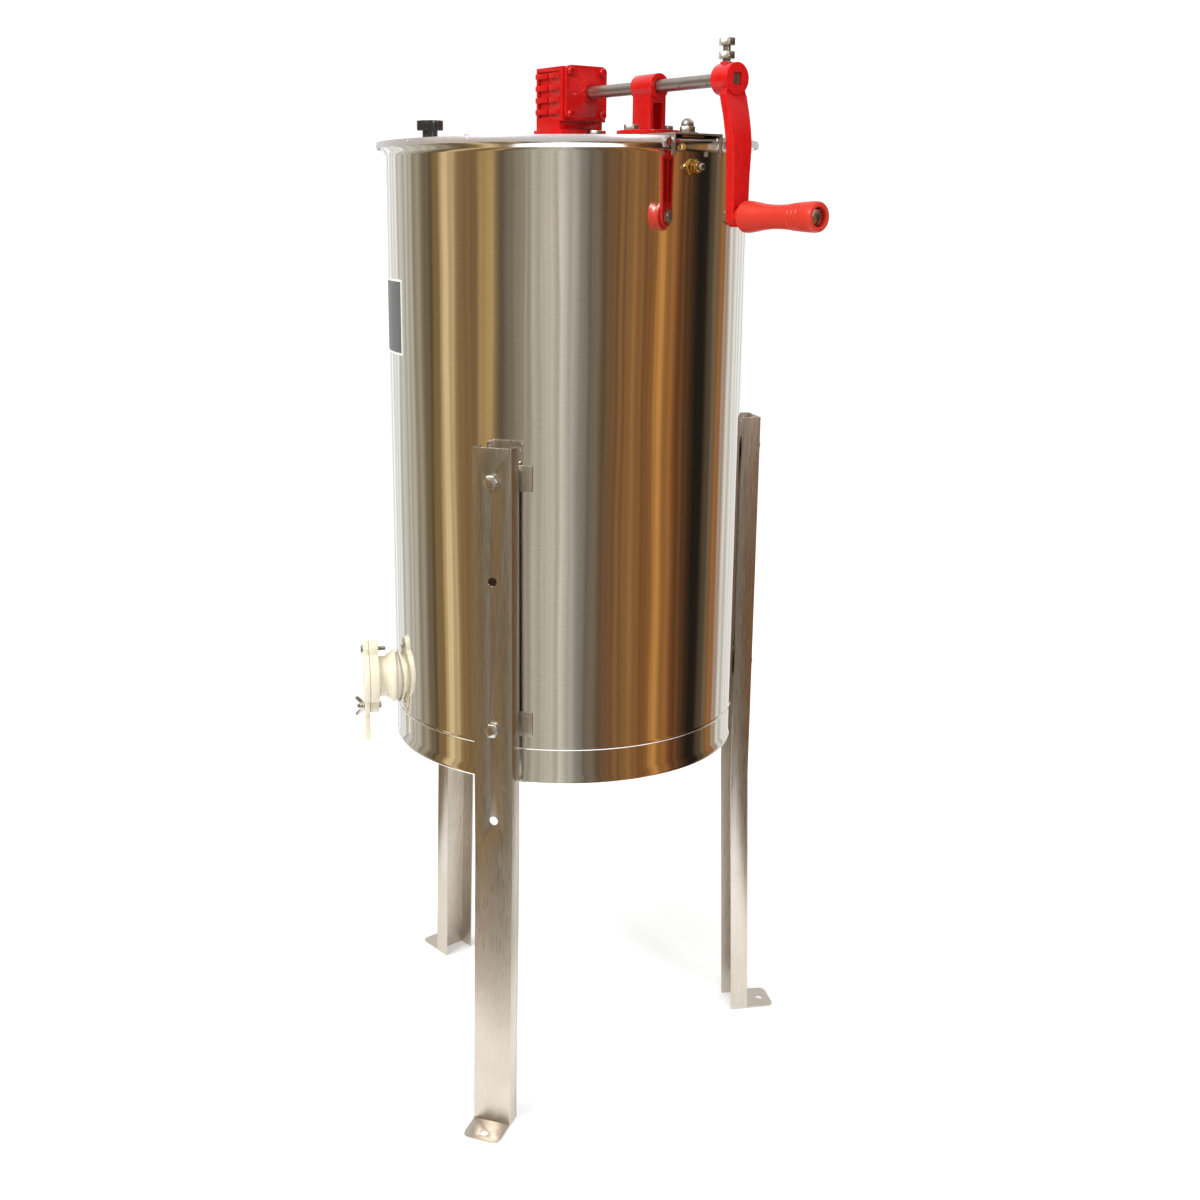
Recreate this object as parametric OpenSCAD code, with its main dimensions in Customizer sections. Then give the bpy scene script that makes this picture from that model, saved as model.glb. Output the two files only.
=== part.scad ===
// Two-frame honey extractor: stainless drum on three legs, bevel-gear hand drive on a crossbar,
// two half lids, a reel with two frame baskets and a plastic honey gate.
// Origin on the floor under the drum's axis, +Z up, +X along the crossbar towards the crank.

/* [Drum] */
// Outside diameter of the drum
drum_d = 370; // [369:0.5:371]
// Height of the drum's lower edge above the floor
drum_base_z = 366; // [362:1:368]
// Height of the top of the rolled rim
rim_z = 989; // [988:1:996]
// Height of the swage above the floor's flange
seam_z = 403; // [402:0.5:404]
// Thickness of the drum's sheet
sheet = 1; // [0.8:0.1:1.2]

/* [Legs] */
// Direction of the first leg, degrees from the crossbar
leg_first_angle = -58; // [-60:1:-56]
// Distance from the drum's axis to a leg's outer face, upright part
leg_r = 211; // [210:0.5:212]
// The same at the floor, where the leg has splayed out
leg_foot_r = 221; // [219:1:226]
// Width of a leg
leg_w = 40; // [38:1:42]
// Depth of a leg's side flanges
leg_depth = 20; // [18:0.5:21]
// Thickness of a leg's sheet
leg_t = 1.5; // [1.2:0.1:1.6]
// Height of the bend in a leg
leg_bend_z = 299; // [290:1:305]
// Height of a leg's top
leg_top_z = 707; // [700:1:715]
// Diameter of the circle through the foot holes
foot_pcd = 484; // [482:1:486]

/* [Crossbar and lids] */
// Width of the crossbar
bar_w = 61; // [60:0.5:61]
// Half the crossbar's length
bar_half = 194; // [193:0.5:196]
// Distance from the crossbar's centre line to a lid's hinge axis
hinge_y = 37.5; // [37.5:0.5:38.5]
// Distance from the crossbar's centre line to a lid knob
knob_y = 168; // [150:1:172]

/* [Drive] */
// Height of the crank shaft above the crossbar
shaft_rise = 45; // [45:0.5:46]
// Diameter of the crank shaft
crank_shaft_d = 12; // [12:0.1:12.4]
// Distance between the crank shaft and the handle
crank_throw = 120; // [110:1:130]
// Teeth of the small bevel gear; the large one has twice as many
pinion_teeth = 14; // [14:2:16]

/* [Reel] */
// Diameter of the reel's shaft
reel_shaft_d = 16; // [15:0.5:16]
// Length of a frame basket
basket_l = 248; // [244:1:252]
// Distance from the axis to the inner side of a basket
basket_in = 40; // [38:1:42]
// Thickness of a basket
basket_t = 52; // [48:1:54]
// Height of a basket
basket_h = 486; // [470:1:486]

/* [Gate] */
// Direction of the gate, degrees from the crossbar
gate_angle = -118; // [-120:1:-116]
// Height of the gate's bore
gate_z = 430; // [429:0.5:432]
// Diameter of the gate's bore
gate_bore = 38; // [36:0.5:38]

/* [Hidden] */
$fn = 90;

// Colours
steel = [0.72, 0.72, 0.70];
satin = [0.62, 0.60, 0.56];
cast_red = [0.85, 0.12, 0.10];
grip_red = [0.93, 0.27, 0.14];
cream = [0.95, 0.93, 0.84];
brass = [0.80, 0.62, 0.30];
black = [0.08, 0.08, 0.08];
bronze = [0.65, 0.48, 0.25];

// Fits and standard fasteners, millimetres
fit = 0.05;          // radial play of a running fit
m8 = 4;              // radius of an M8 thread
m8_hole = 4.5;
m8_hex = 7.5;        // corner radius of a 13 mm hexagon
m8_head = 5.3;
m8_nut = 6.5;
m6 = 3;
m5 = 2.5;

// Drum
drum_r = drum_d / 2;
wall_r = drum_r - sheet;
bead_round = 3.2;
bead_r = drum_r + 2.6;
bead_z = rim_z - bead_round;
gate_hole_r = gate_bore / 2 + 3.3;
floor_apex_z = 430;
floor_edge_z = seam_z - 7;
floor_flat_r = 24;
anchor_z = rim_z - 26;

// Legs
leg_angles = [leg_first_angle, leg_first_angle + 120, leg_first_angle + 240];
bolt_heights = [428, 674.7];
spare_heights = [332.4, 577.6];
foot_end = 253.5;
foot_t = 2;
bracket_h = 25;
hat_half = 16;
ear_half = 31;

// Crossbar, anchors and lids
bar_t = 1.5;
plate_z = rim_z + 2.5;
bar_top = plate_z + bar_t;
bar_skirt_z = rim_z - 12;
tab_z = rim_z - 16;
notch_in = 180.5;
notch_out = 189.3;
stud_x = 178;
anchor_x = 171.5;
anchor_t = 1.8;
hinge_z = rim_z - 4.5;
ear_x = 189.4;
lid_gap = 0.2;
lid_z = rim_z + lid_gap;
lid_edge = hinge_y - 2.7;
lid_rim_r = drum_r + 9.4;
pin_r = 2;

// Drive
shaft_z = bar_top + shaft_rise;
shaft_r = crank_shaft_d / 2;
box_back = -14.5;
box_front = 27.5;
box_half = 28;
box_top = bar_top + 70;
cover_face = 31.5;
nose_x = 38.5;
screw_pitch = 20.5;
front_bolt = [30, 13];
rear_bolt = [-20, -13];
pedestal_x = 124.5;
pedestal_bolt_y = 22;
pedestal_half = 14.5;
seal_bore = 6.4;     // the castings' lips round the shaft
boss_x = 220.5;
boss_end = 241;
boss_r = 14;
set_screw_x = 226.4;
pad_r = 5.8;
lip = 2.5;            // how deep the bushes sit behind the lips
cover_bush_r = 8;
grip_z = shaft_z - crank_throw;
arm_t = 10;
arm_back = 240;
grip_boss = 4;
washer_t = 1.5;
grip_x = arm_back + arm_t + grip_boss + washer_t + 0.2;
grip_end = 343.6;
pin_bore = m8 + 0.08;

// Gears: a straight bevel pair, ratio 2 to 1
module_mm = 1.25;
pinion_r = module_mm * pinion_teeth / 2;
gear_r = 2 * pinion_r;
gear_slope = 0.447;   // cosine of the large gear's pitch angle
pinion_slope = 0.894; // cosine of the small gear's pitch angle
addendum = 0.9;
dedendum = 1.5;
tooth_tip = 0.8;
tooth_root = 1.9;
face_share = 0.3;

// Reel
reel_r = reel_shaft_d / 2;
out_r = 7;
spigot_r = 4.5;
ball_r = 5;
basket_z = 462;
rod = 4;
wire = 3;
coupling_z = basket_z + basket_h + 4;
coupling_top = rim_z - 4;
shaft_joint_z = (coupling_z + coupling_top) / 2;
shoulder_z = bar_top + 18;

// Gate, distances outwards from the drum's axis
bore_r = gate_bore / 2;
throat_r = bore_r - 1;
stub_r = bore_r + 2.9;
stub_in = 166;
seal_out = drum_r + 2;
collar_r = 28.5;
plate_in = drum_r + 20.5;
plate_out = drum_r + 30;
shutter_in = plate_out + 0.3;
shutter_out = drum_r + 36;
pivot_y = 31.6;
clamp_y = -32.5;

// Helpers
module side_sheet(w) { rotate([90, 0, 0]) linear_extrude(w, center = true) children(); }
module along_x(x0) { translate([x0, 0, 0]) rotate([0, 90, 0]) children(); }
module on_gate(r0) {
    rotate([0, 0, gate_angle]) translate([0, 0, gate_z]) rotate([90, 0, 90])
        translate([0, 0, r0]) children();
}
module hex(r, h) { cylinder(r = r, h = h, $fn = 6); }
module tube(ro, ri, h) {
    difference() {
        cylinder(r = ro, h = h);
        translate([0, 0, -1]) cylinder(r = ri, h = h + 2);
    }
}
module rounded(w, d, r) {
    square([w - 2 * r, d], center = true);
    square([w, d - 2 * r], center = true);
    for (x = [-1, 1], y = [-1, 1]) translate([x * (w / 2 - r), y * (d / 2 - r)]) circle(r = r);
}
module each_leg() { for (a = leg_angles) rotate([0, 0, a]) children(); }
module each_end() { for (a = [0, 180]) rotate([0, 0, a]) children(); }

// ---- Drum ----
module drum_outline() {
    translate([wall_r, drum_base_z]) square([sheet, bead_z - drum_base_z]);
    translate([bead_r, bead_z]) circle(r = bead_round);
    polygon([[drum_r - 0.5, rim_z - 12], [drum_r, rim_z - 12], [drum_r + 4.7, rim_z - 5.4],
        [bead_r, bead_z], [drum_r - 0.5, bead_z]]);
    translate([drum_r, seam_z]) circle(r = 0.7);
}
module drum_shell() {
    color(steel) difference() {
        rotate_extrude($fn = 180) drum_outline();
        on_gate(wall_r - 6) cylinder(r = gate_hole_r, h = 12);
        each_end() translate([0, 0, anchor_z]) along_x(wall_r - 3) cylinder(r = m6, h = 6);
    }
}
module drum_floor() {
    lip = 10;
    color(steel) rotate_extrude($fn = 180) polygon([[0, floor_apex_z - sheet], [0, floor_apex_z],
        [floor_flat_r, floor_apex_z], [wall_r, floor_edge_z], [wall_r, floor_edge_z - lip],
        [wall_r - sheet, floor_edge_z - lip], [wall_r - sheet, floor_edge_z - sheet],
        [floor_flat_r, floor_apex_z - sheet]]);
}
module pivot_cup() {
    color(steel) translate([0, 0, floor_apex_z]) difference() {
        union() {
            cylinder(r = 22, h = 4);
            cylinder(r = 13, h = 24);
        }
        translate([0, 0, 5]) cylinder(r = reel_r + fit, h = 24);
    }
}
module label_plate() {
    arc = 35;
    color([0.25, 0.25, 0.27]) rotate([0, 0, gate_angle - arc / 2]) translate([0, 0, 782])
        rotate_extrude(angle = arc) translate([drum_r, 0]) square([0.4, 75]);
}

// ---- Legs ----
module leg() {
    web = [[leg_foot_r, 0], [leg_r, leg_bend_z], [leg_r, leg_top_z]];
    function inward(d) = [for (i = [2, 1, 0]) [web[i][0] - d, web[i][1]]];
    color(satin) difference() {
        union() {
            side_sheet(leg_w) polygon(concat(web, inward(leg_t)));
            for (s = [-1, 1]) translate([0, s * (leg_w - leg_t) / 2, 0])
                side_sheet(leg_t) polygon(concat(web, inward(leg_depth)));
            linear_extrude(foot_t) polygon([[leg_foot_r - leg_t, -leg_w / 2], [foot_end - 7, -leg_w / 2],
                [foot_end - 2, -leg_w / 2 + 2], [foot_end, -leg_w / 2 + 7], [foot_end, leg_w / 2 - 7],
                [foot_end - 2, leg_w / 2 - 2], [foot_end - 7, leg_w / 2], [leg_foot_r - leg_t, leg_w / 2]]);
        }
        for (z = concat(bolt_heights, spare_heights))
            translate([0, 0, z]) along_x(leg_r - 6) cylinder(r = m8_hole, h = 12);
        translate([foot_pcd / 2, 0, -1]) cylinder(r = m8_hole, h = 10);
    }
}
module bracket() {
    hat_x = leg_r - leg_t;
    difference() {
        linear_extrude(bracket_h, center = true) difference() {
            union() {
                translate([hat_x - leg_t, -hat_half]) square([leg_t, 2 * hat_half]);
                for (s = [-1, 1]) translate([drum_r - 3, s * (hat_half - leg_t / 2) - leg_t / 2])
                    square([hat_x - drum_r + 3, leg_t]);
                intersection() {
                    difference() {
                        circle(r = drum_r + leg_t, $fn = 180);
                        translate([0, -hat_half + leg_t]) square([300, 2 * (hat_half - leg_t)]);
                    }
                    translate([100, -ear_half]) square([200, 2 * ear_half]);
                }
            }
            circle(r = drum_r, $fn = 180);
        }
        along_x(hat_x - 4) cylinder(r = m8_hole, h = 8);
    }
}
module brackets(z) { color(satin) each_leg() translate([0, 0, z]) bracket(); }
module leg_bolts() {
    color(steel) each_leg() for (z = bolt_heights) translate([0, 0, z]) {
        along_x(leg_r) hex(m8_hex, m8_head);
        along_x(leg_r - 14) cylinder(r = m8, h = 14.5);
    }
}
module leg_nuts() {
    color(steel) each_leg() for (z = bolt_heights) translate([0, 0, z])
        along_x(leg_r - 2 * leg_t - m8_nut) difference() {
            hex(m8_hex, m8_nut);
            translate([0, 0, -1]) cylinder(r = m8, h = m8_nut + 2);
        }
}

// ---- Crossbar and its anchors ----
module crossbar() {
    edge = [[bar_half, bar_top], [bar_half, tab_z], [notch_out, tab_z], [notch_out, rim_z + 0.2],
        [notch_in, rim_z + 0.2], [notch_in, bar_skirt_z]];
    color(satin) difference() {
        union() {
            translate([-bar_half, -bar_w / 2, plate_z]) cube([2 * bar_half, bar_w, bar_t]);
            for (s = [-1, 1]) translate([0, s * (bar_w - bar_t) / 2, 0]) side_sheet(bar_t)
                polygon(concat(edge, [for (i = [5:-1:0]) [-edge[i][0], edge[i][1]]]));
        }
        translate([0, 0, plate_z - 1]) cylinder(r = 10, h = 5);
        for (p = bar_bolt_places) translate([p[0], p[1], plate_z - 1]) cylinder(r = m8_hole, h = 5);
        each_end() translate([stud_x, 0, plate_z - 1]) cylinder(r = m8_hole, h = 5);
    }
}
bar_bolt_places = [front_bolt, rear_bolt, [pedestal_x, pedestal_bolt_y], [pedestal_x, -pedestal_bolt_y]];
bar_bolt_seats = [bar_top + 4.4, bar_top + 4.4, bar_top + 5, bar_top + 5];
module crossbar_anchors() {
    color(satin) each_end() difference() {
        union() {
            translate([anchor_x, -14, anchor_z - 15]) cube([anchor_t, 28, plate_z - anchor_z + 14.8]);
            translate([anchor_x, -14, plate_z - 0.2 - anchor_t]) cube([15, 28, anchor_t]);
        }
        translate([0, 0, anchor_z]) along_x(anchor_x - 1) cylinder(r = m6, h = 5);
    }
}
module anchor_studs() {
    color(steel) each_end() translate([stud_x, 0, plate_z - 0.2]) cylinder(r = m8, h = 12.5);
}
module dome_nuts() {
    h = 8.2;
    cap_r = 6.1;
    color(steel) each_end() translate([stud_x, 0, bar_top]) difference() {
        union() {
            hex(m8_hex, 6.3);
            rotate_extrude() {
                square([cap_r, h]);
                intersection() {
                    translate([0, h]) circle(r = cap_r);
                    translate([0, h - 1]) square([cap_r + 1, cap_r + 2]);
                }
            }
        }
        translate([0, 0, -1]) cylinder(r = m8, h = 12.3);
    }
}
module wall_spacers() {
    color(brass) each_end() translate([0, 0, anchor_z]) along_x(anchor_x + anchor_t)
        tube(6, m6, wall_r - 0.2 - anchor_x - anchor_t);
}
module wall_screws() {
    color(steel) each_end() translate([0, 0, anchor_z]) {
        along_x(anchor_x - 4) cylinder(r = 5.5, h = 4);
        along_x(anchor_x - 2) cylinder(r = m6, h = drum_r + 15.5 - anchor_x + 2);
    }
}
module brass_wall_nuts() {
    color(brass) each_end() translate([0, 0, anchor_z]) along_x(drum_r + 0.1) difference() {
        union() {
            hex(8.3, 3.5);
            cylinder(r = 6, h = 6);
            cylinder(r = 4.8, h = 11);
        }
        translate([0, 0, -1]) cylinder(r = m6, h = 20);
    }
}
module lid_hinge_pins() {
    color(steel) each_end() for (s = [-1, 1]) translate([0, s * hinge_y, hinge_z]) difference() {
        union() {
            along_x(185) cylinder(r = pin_r, h = 7);
            along_x(ear_x + 2.3) cylinder(r = 3.6, h = 2);
        }
        translate([0, -s * hinge_y, -hinge_z]) rotate_extrude($fn = 180) drum_outline();
    }
}
module crossbar_bolts() {
    color(steel) for (i = [0:3]) translate([bar_bolt_places[i][0], bar_bolt_places[i][1], 0]) {
        translate([0, 0, bar_bolt_seats[i]]) hex(m8_hex, m8_head);
        translate([0, 0, plate_z - 9]) cylinder(r = m8, h = bar_bolt_seats[i] - plate_z + 9.5);
    }
}
module crossbar_nuts() {
    color(steel) for (p = bar_bolt_places) translate([p[0], p[1], plate_z - m8_nut]) difference() {
        hex(m8_hex, m8_nut);
        translate([0, 0, -1]) cylinder(r = m8, h = m8_nut + 2);
    }
}

// ---- Gearbox ----
module box_shape() {
    rib_h = 5;
    proud = 0.8;
    panel_w = box_front - box_back - 8;
    difference() {
        union() {
            translate([box_back - 3, -29, bar_top]) cube([box_front - box_back + 3, 58, 10]);
            translate([box_back, -box_half, bar_top]) cube([37, 2 * box_half, 20]);
            translate([box_back, -box_half, bar_top + 18]) cube([box_front - box_back, 2 * box_half, 52]);
        }
        // sunk side panels
        for (s = [-1, 1]) translate([box_back + 3.5, s * box_half - 2.5, bar_top + 22]) cube([panel_w, 5, 44]);
    }
    for (z = [27.5, 39, 50.5, 62]) translate([box_back, 0, bar_top + z - rib_h / 2]) {
        translate([-proud, -box_half - proud, 0]) cube([19, 2 * (box_half + proud), rib_h]);
        translate([21, -box_half - proud, 0]) cube([17, 2 * (box_half + proud), rib_h]);
    }
}
module gearbox_housing() {
    foot_h = 4.4;
    wall = 4;
    color(cast_red) difference() {
        union() {
            translate([-26, -29.5, bar_top]) cube([64, 59, foot_h]);
            box_shape();
        }
        // gear chamber, open to the cover
        translate([0, 0, shaft_z]) along_x(box_back + wall) cylinder(r = 22, h = 60);
        translate([box_back + wall + 6, -14, bar_top + 16]) cube([26, 28, 20]);
        // seats of the bushes
        translate([0, 0, bar_top - 1]) cylinder(r = 10.5, h = 30);
        for (p = [front_bolt, rear_bolt]) translate([p[0], p[1], 0]) {
            translate([0, 0, bar_top - 1]) cylinder(r = m8_hole, h = 10);
            translate([0, 0, bar_top + foot_h]) cylinder(r = 8.6, h = 8);
        }
        for (y = [-1, 1], z = [-1, 1]) translate([0, y * screw_pitch, shaft_z + z * screw_pitch])
            along_x(box_front - 10) cylinder(r = m5, h = 20);
    }
    // blind boss that holds the inner end of the crank shaft
    color(cast_red) translate([0, 0, shaft_z]) along_x(box_back + wall) tube(11.5, 8.5, 7);
}
module gearbox_cover() {
    plate_t = cover_face - box_front;
    cone_top = nose_x - 1.6;
    color(cast_red) translate([0, 0, shaft_z]) difference() {
        union() {
            along_x(box_front) linear_extrude(plate_t) rounded(52.5, 52.5, 6.5);
            along_x(cover_face - 0.1) rotate(22.5) cylinder(r1 = 24.6, r2 = 12.5, h = cone_top - cover_face + 0.1,
                $fn = 8);
            along_x(cone_top - 1) cylinder(r = 9.8, h = nose_x - cone_top + 1);
        }
        along_x(box_front - 1) cylinder(r = cover_bush_r, h = nose_x - lip - box_front + 1);
        along_x(box_front - 1) cylinder(r = seal_bore, h = 20);
        for (y = [-1, 1], z = [-1, 1]) translate([0, y * screw_pitch, z * screw_pitch])
            along_x(box_front - 1) cylinder(r = m5, h = 10);
    }
}
module cover_screws() {
    color(steel) for (y = [-1, 1], z = [-1, 1])
        translate([0, y * screw_pitch, shaft_z + z * screw_pitch]) {
            along_x(box_front - 8) cylinder(r = m5, h = cover_face - box_front + 8.5);
            along_x(cover_face) cylinder(r = 4.5, h = 2.6);
        }
}
module input_bushes() {
    color(bronze) translate([0, 0, shaft_z]) {
        along_x(box_back + 4) tube(8.5, shaft_r + fit, 7);
        along_x(box_front - 4) tube(cover_bush_r, shaft_r + fit, nose_x - lip - box_front + 4);
    }
}
module output_bush() {
    color(bronze) translate([0, 0, bar_top]) tube(10.5, out_r + fit, 15);
}
module bearing_pedestal() {
    base = 5;
    collar = 11.8;
    flange_w = 25;
    color(cast_red) translate([pedestal_x, 0, 0]) difference() {
        union() {
            translate([0, 0, bar_top]) linear_extrude(base) rounded(52, 60, 22);
            // column: two flanges joined by a web
            translate([0, 0, bar_top]) linear_extrude(shaft_rise - 4) {
                square([8, 18], center = true);
                for (s = [-1, 1]) translate([0, s * 8]) square([flange_w, 4], center = true);
            }
            translate([-flange_w / 2, -10, shaft_z - 15]) cube([flange_w, 20, 12]);
            translate([0, 0, shaft_z]) along_x(-pedestal_half) cylinder(r = collar, h = 2 * pedestal_half);
        }
        translate([0, 0, shaft_z]) along_x(lip - pedestal_half) cylinder(r = 8.5, h = 2 * (pedestal_half - lip));
        translate([0, 0, shaft_z]) along_x(-30) cylinder(r = seal_bore, h = 60);
        for (s = [-1, 1]) translate([0, s * pedestal_bolt_y, bar_top - 1]) cylinder(r = m8_hole, h = 20);
        for (s = [-1, 1]) translate([0, s * pedestal_bolt_y, bar_top + base]) cylinder(r = 8.6, h = 8);
    }
}
module pedestal_bush() {
    color(bronze) translate([0, 0, shaft_z]) along_x(pedestal_x - pedestal_half + lip)
        tube(8.5, shaft_r + fit, 2 * (pedestal_half - lip));
}

// ---- Crank shaft, gears and crank ----
module bevel_outline(teeth, pitch_r, slope) {
    tip = pitch_r + addendum / slope;
    root = pitch_r - dedendum / slope;
    circle(r = root, $fn = 56);
    for (i = [0:teeth - 1]) rotate(i * 360 / teeth) polygon([[root - 0.6, -tooth_root / 2],
        [tip, -tooth_tip / 2], [tip, tooth_tip / 2], [root - 0.6, tooth_root / 2]]);
}
module input_shaft() {
    square_af = 9.6;
    flat = (2 * shaft_r - square_af) / 2;
    color(steel) translate([0, 0, shaft_z]) difference() {
        along_x(box_back + 4.3) cylinder(r = shaft_r, h = boss_end - 2 - box_back - 4.3);
        for (a = [0:3]) rotate([a * 90, 0, 0])
            translate([boss_x, -shaft_r, shaft_r - flat]) cube([60, 2 * shaft_r, 5]);
    }
}
module drive_gear() {
    color(steel) translate([pinion_r, 0, shaft_z]) difference() {
        union() {
            rotate([0, -90, 0]) rotate(90 / pinion_teeth) linear_extrude(face_share * pinion_r,
                scale = 1 - face_share) bevel_outline(2 * pinion_teeth, gear_r, gear_slope);
            along_x(0) cylinder(r = 10.5, h = 14);
        }
        along_x(-20) cylinder(r = shaft_r, h = 60);
    }
}
// the arm seen from the side: distance below the shaft, back face, front face
arm_bend = [[63, arm_back, arm_back + arm_t], [53, 239.6, 249.3], [43, 238.3, 247.6], [32, 236.5, 245],
    [23, 234.3, 242.3], [14, 232.2, 239.8], [8, 231.5, 239]];
// the arm seen from the front: distance below the shaft, half width
arm_front = [[84, 9.9], [58, 11.4], [32, 12.6], [15, 13.3], [8, 11]];
module crank_arm() {
    end_r = 9.3;
    hole = 10.4;
    n = len(arm_bend) - 1;
    m = len(arm_front) - 1;
    color(cast_red) difference() {
        union() {
            translate([0, 0, shaft_z]) along_x(boss_x) cylinder(r = boss_r, h = boss_end - boss_x);
            translate([set_screw_x, 0, shaft_z]) cylinder(r = pad_r, h = boss_r + 0.8);
            translate([0, 0, grip_z]) along_x(arm_back + 2) cylinder(r = 9, h = arm_t + grip_boss - 2);
            intersection() {
                side_sheet(40) polygon(concat([[arm_back, grip_z - 12], [arm_back + arm_t, grip_z - 12]],
                    [for (p = arm_bend) [p[2], shaft_z - p[0]]],
                    [for (i = [n:-1:0]) [arm_bend[i][1], shaft_z - arm_bend[i][0]]]));
                translate([arm_back - 20, 0, 0]) rotate([90, 0, 90]) linear_extrude(50) {
                    polygon(concat([[end_r, grip_z]], [for (p = arm_front) [p[1], shaft_z - p[0]]],
                        [for (i = [m:-1:0]) [-arm_front[i][1], shaft_z - arm_front[i][0]]], [[-end_r, grip_z]]));
                    translate([0, grip_z]) circle(r = end_r);
                }
            }
        }
        // pockets in the arm's back, either side of a rib
        for (s = [-1, 1]) translate([arm_back - 1, 0, 0]) rotate([90, 0, 90]) linear_extrude(6)
            polygon([[s * 1.5, grip_z + 14], [s * 6.4, grip_z + 14], [s * 8.2, shaft_z - 66], [s * 1.5, shaft_z - 66]]);
        translate([boss_x - 2, -hole / 2, shaft_z - hole / 2]) cube([boss_end - boss_x + 4, hole, hole]);
        translate([set_screw_x, 0, shaft_z]) cylinder(r = m8, h = 30);
        translate([0, 0, grip_z]) along_x(arm_back - 5) cylinder(r = m8, h = 30);
    }
}
module crank_set_screw() {
    color(steel) translate([set_screw_x, 0, shaft_z]) {
        translate([0, 0, 4.8]) cylinder(r = m8, h = 25);
        translate([0, 0, 29]) hex(m8_hex, 6.6);
    }
}
module crank_jam_nut() {
    color(steel) translate([set_screw_x, 0, shaft_z + 17.5]) difference() {
        hex(m8_hex, 6.5);
        translate([0, 0, -1]) cylinder(r = m8, h = 9);
    }
}
module grip_washer() {
    color(steel) translate([0, 0, grip_z]) along_x(arm_back + arm_t + grip_boss) tube(8.8, m8, washer_t);
}
module grip_bolt() {
    color(steel) translate([0, 0, grip_z]) {
        along_x(arm_back - m8_nut - 2) cylinder(r = m8, h = grip_end - 7.5 - arm_back + m8_nut + 2);
        along_x(grip_end - 7.8) hex(m8_hex, 5.3);
    }
}
module grip_nut() {
    color(steel) translate([0, 0, grip_z]) along_x(arm_back - m8_nut) difference() {
        hex(m8_hex, m8_nut);
        translate([0, 0, -1]) cylinder(r = m8, h = 9);
    }
}
module handle_grip() {
    length = grip_end - grip_x;
    color(grip_red) translate([0, 0, grip_z]) along_x(grip_x) difference() {
        rotate_extrude() difference() {
            polygon([[0, 0], [12.6, 0], [14, 2], [14.2, 7], [13.2, 15], [11.6, 24], [10.7, 34], [10.5, 42],
                [11, 52], [12.1, 63], [13.1, 74], [13.4, 83], [12.8, length - 1.5], [11.5, length], [0, length]]);
            for (g = [[12.5, 61], [12.9, 66], [13.3, 71]]) translate(g) circle(r = 1, $fn = 24);
        }
        translate([0, 0, -1]) cylinder(r = pin_bore, h = length + 2);
        translate([0, 0, length - 8]) cylinder(r = 8.8, h = 10);
    }
}

// ---- Reel ----
module output_shaft() {
    top = shaft_z - gear_r + face_share * gear_r;
    color(steel) difference() {
        union() {
            translate([0, 0, shaft_joint_z]) cylinder(r = out_r, h = shoulder_z - shaft_joint_z);
            translate([0, 0, shoulder_z]) cylinder(r = spigot_r, h = top - shoulder_z);
        }
        translate([-20, 0, shaft_joint_z + 7]) rotate([0, 90, 0]) cylinder(r = m5, h = 40);
    }
}
module pinion_gear() {
    big_end = shaft_z - gear_r;
    color(steel) difference() {
        union() {
            translate([0, 0, big_end]) linear_extrude(face_share * gear_r, scale = 1 - face_share)
                bevel_outline(pinion_teeth, pinion_r, pinion_slope);
            translate([0, 0, shoulder_z]) cylinder(r = 6.6, h = big_end - shoulder_z + 0.5);
        }
        translate([0, 0, bar_top + 10]) cylinder(r = spigot_r, h = 40);
    }
}
module shaft_coupling() {
    color(satin) difference() {
        translate([0, 0, coupling_z]) cylinder(r = 13, h = coupling_top - coupling_z);
        translate([0, 0, coupling_z - 1]) cylinder(r = reel_r, h = shaft_joint_z - coupling_z + 1);
        translate([0, 0, shaft_joint_z - 1]) cylinder(r = out_r, h = 60);
        for (dz = [-7, 7]) translate([-20, 0, shaft_joint_z + dz]) rotate([0, 90, 0])
            cylinder(r = m5, h = 40);
    }
}
module coupling_pins() {
    color(steel) for (dz = [-7, 7]) translate([-14.5, 0, shaft_joint_z + dz]) rotate([0, 90, 0])
        cylinder(r = m5, h = 29);
}
module reel_shaft() {
    low = floor_apex_z + 11;
    color(steel) difference() {
        translate([0, 0, low]) cylinder(r = reel_r, h = shaft_joint_z - low);
        translate([0, 0, low - 1]) cylinder(r = ball_r, h = 5.2);
        translate([-20, 0, shaft_joint_z - 7]) rotate([0, 90, 0]) cylinder(r = m5, h = 40);
    }
}
module pivot_ball() {
    color(steel) translate([0, 0, floor_apex_z + 5 + ball_r + 0.05]) sphere(r = ball_r);
}
module reel_spiders() {
    color(satin) for (z = [basket_z, basket_z + basket_h - rod]) difference() {
        union() {
            translate([-14, -basket_in, z]) cube([28, 2 * basket_in, rod]);
            translate([0, 0, z - (z > 600 ? 8 : 0)]) cylinder(r = 13, h = rod + 8);
        }
        translate([0, 0, z - 20]) cylinder(r = reel_r, h = 50);
    }
}
module basket() {
    x1 = basket_l / 2;
    y1 = basket_in + basket_t - wire;
    heights = [for (i = [0:4]) basket_z + i * (basket_h - rod) / 4];
    color(steel) {
        // inner side: two posts and five rails
        for (x = [-x1, x1 - rod]) translate([x, basket_in, basket_z]) cube([rod, rod, basket_h]);
        for (z = heights) translate([-x1, basket_in, z]) cube([basket_l, rod, rod]);
        // end rungs
        for (x = [-x1, x1 - rod], z = heights)
            translate([x, basket_in, z]) cube([rod, y1 - basket_in, rod]);
        for (x = [-x1, x1 - rod]) translate([x, y1 - rod, basket_z]) cube([rod, rod, basket_h]);
        // floor rungs that the frame stands on
        for (i = [1:4]) translate([-x1 + i * basket_l / 5 - rod / 2, basket_in, basket_z])
            cube([rod, y1 - basket_in, rod]);
    }
}
module basket_a() { basket(); }
module basket_b() { mirror([0, 1, 0]) basket(); }
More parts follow.
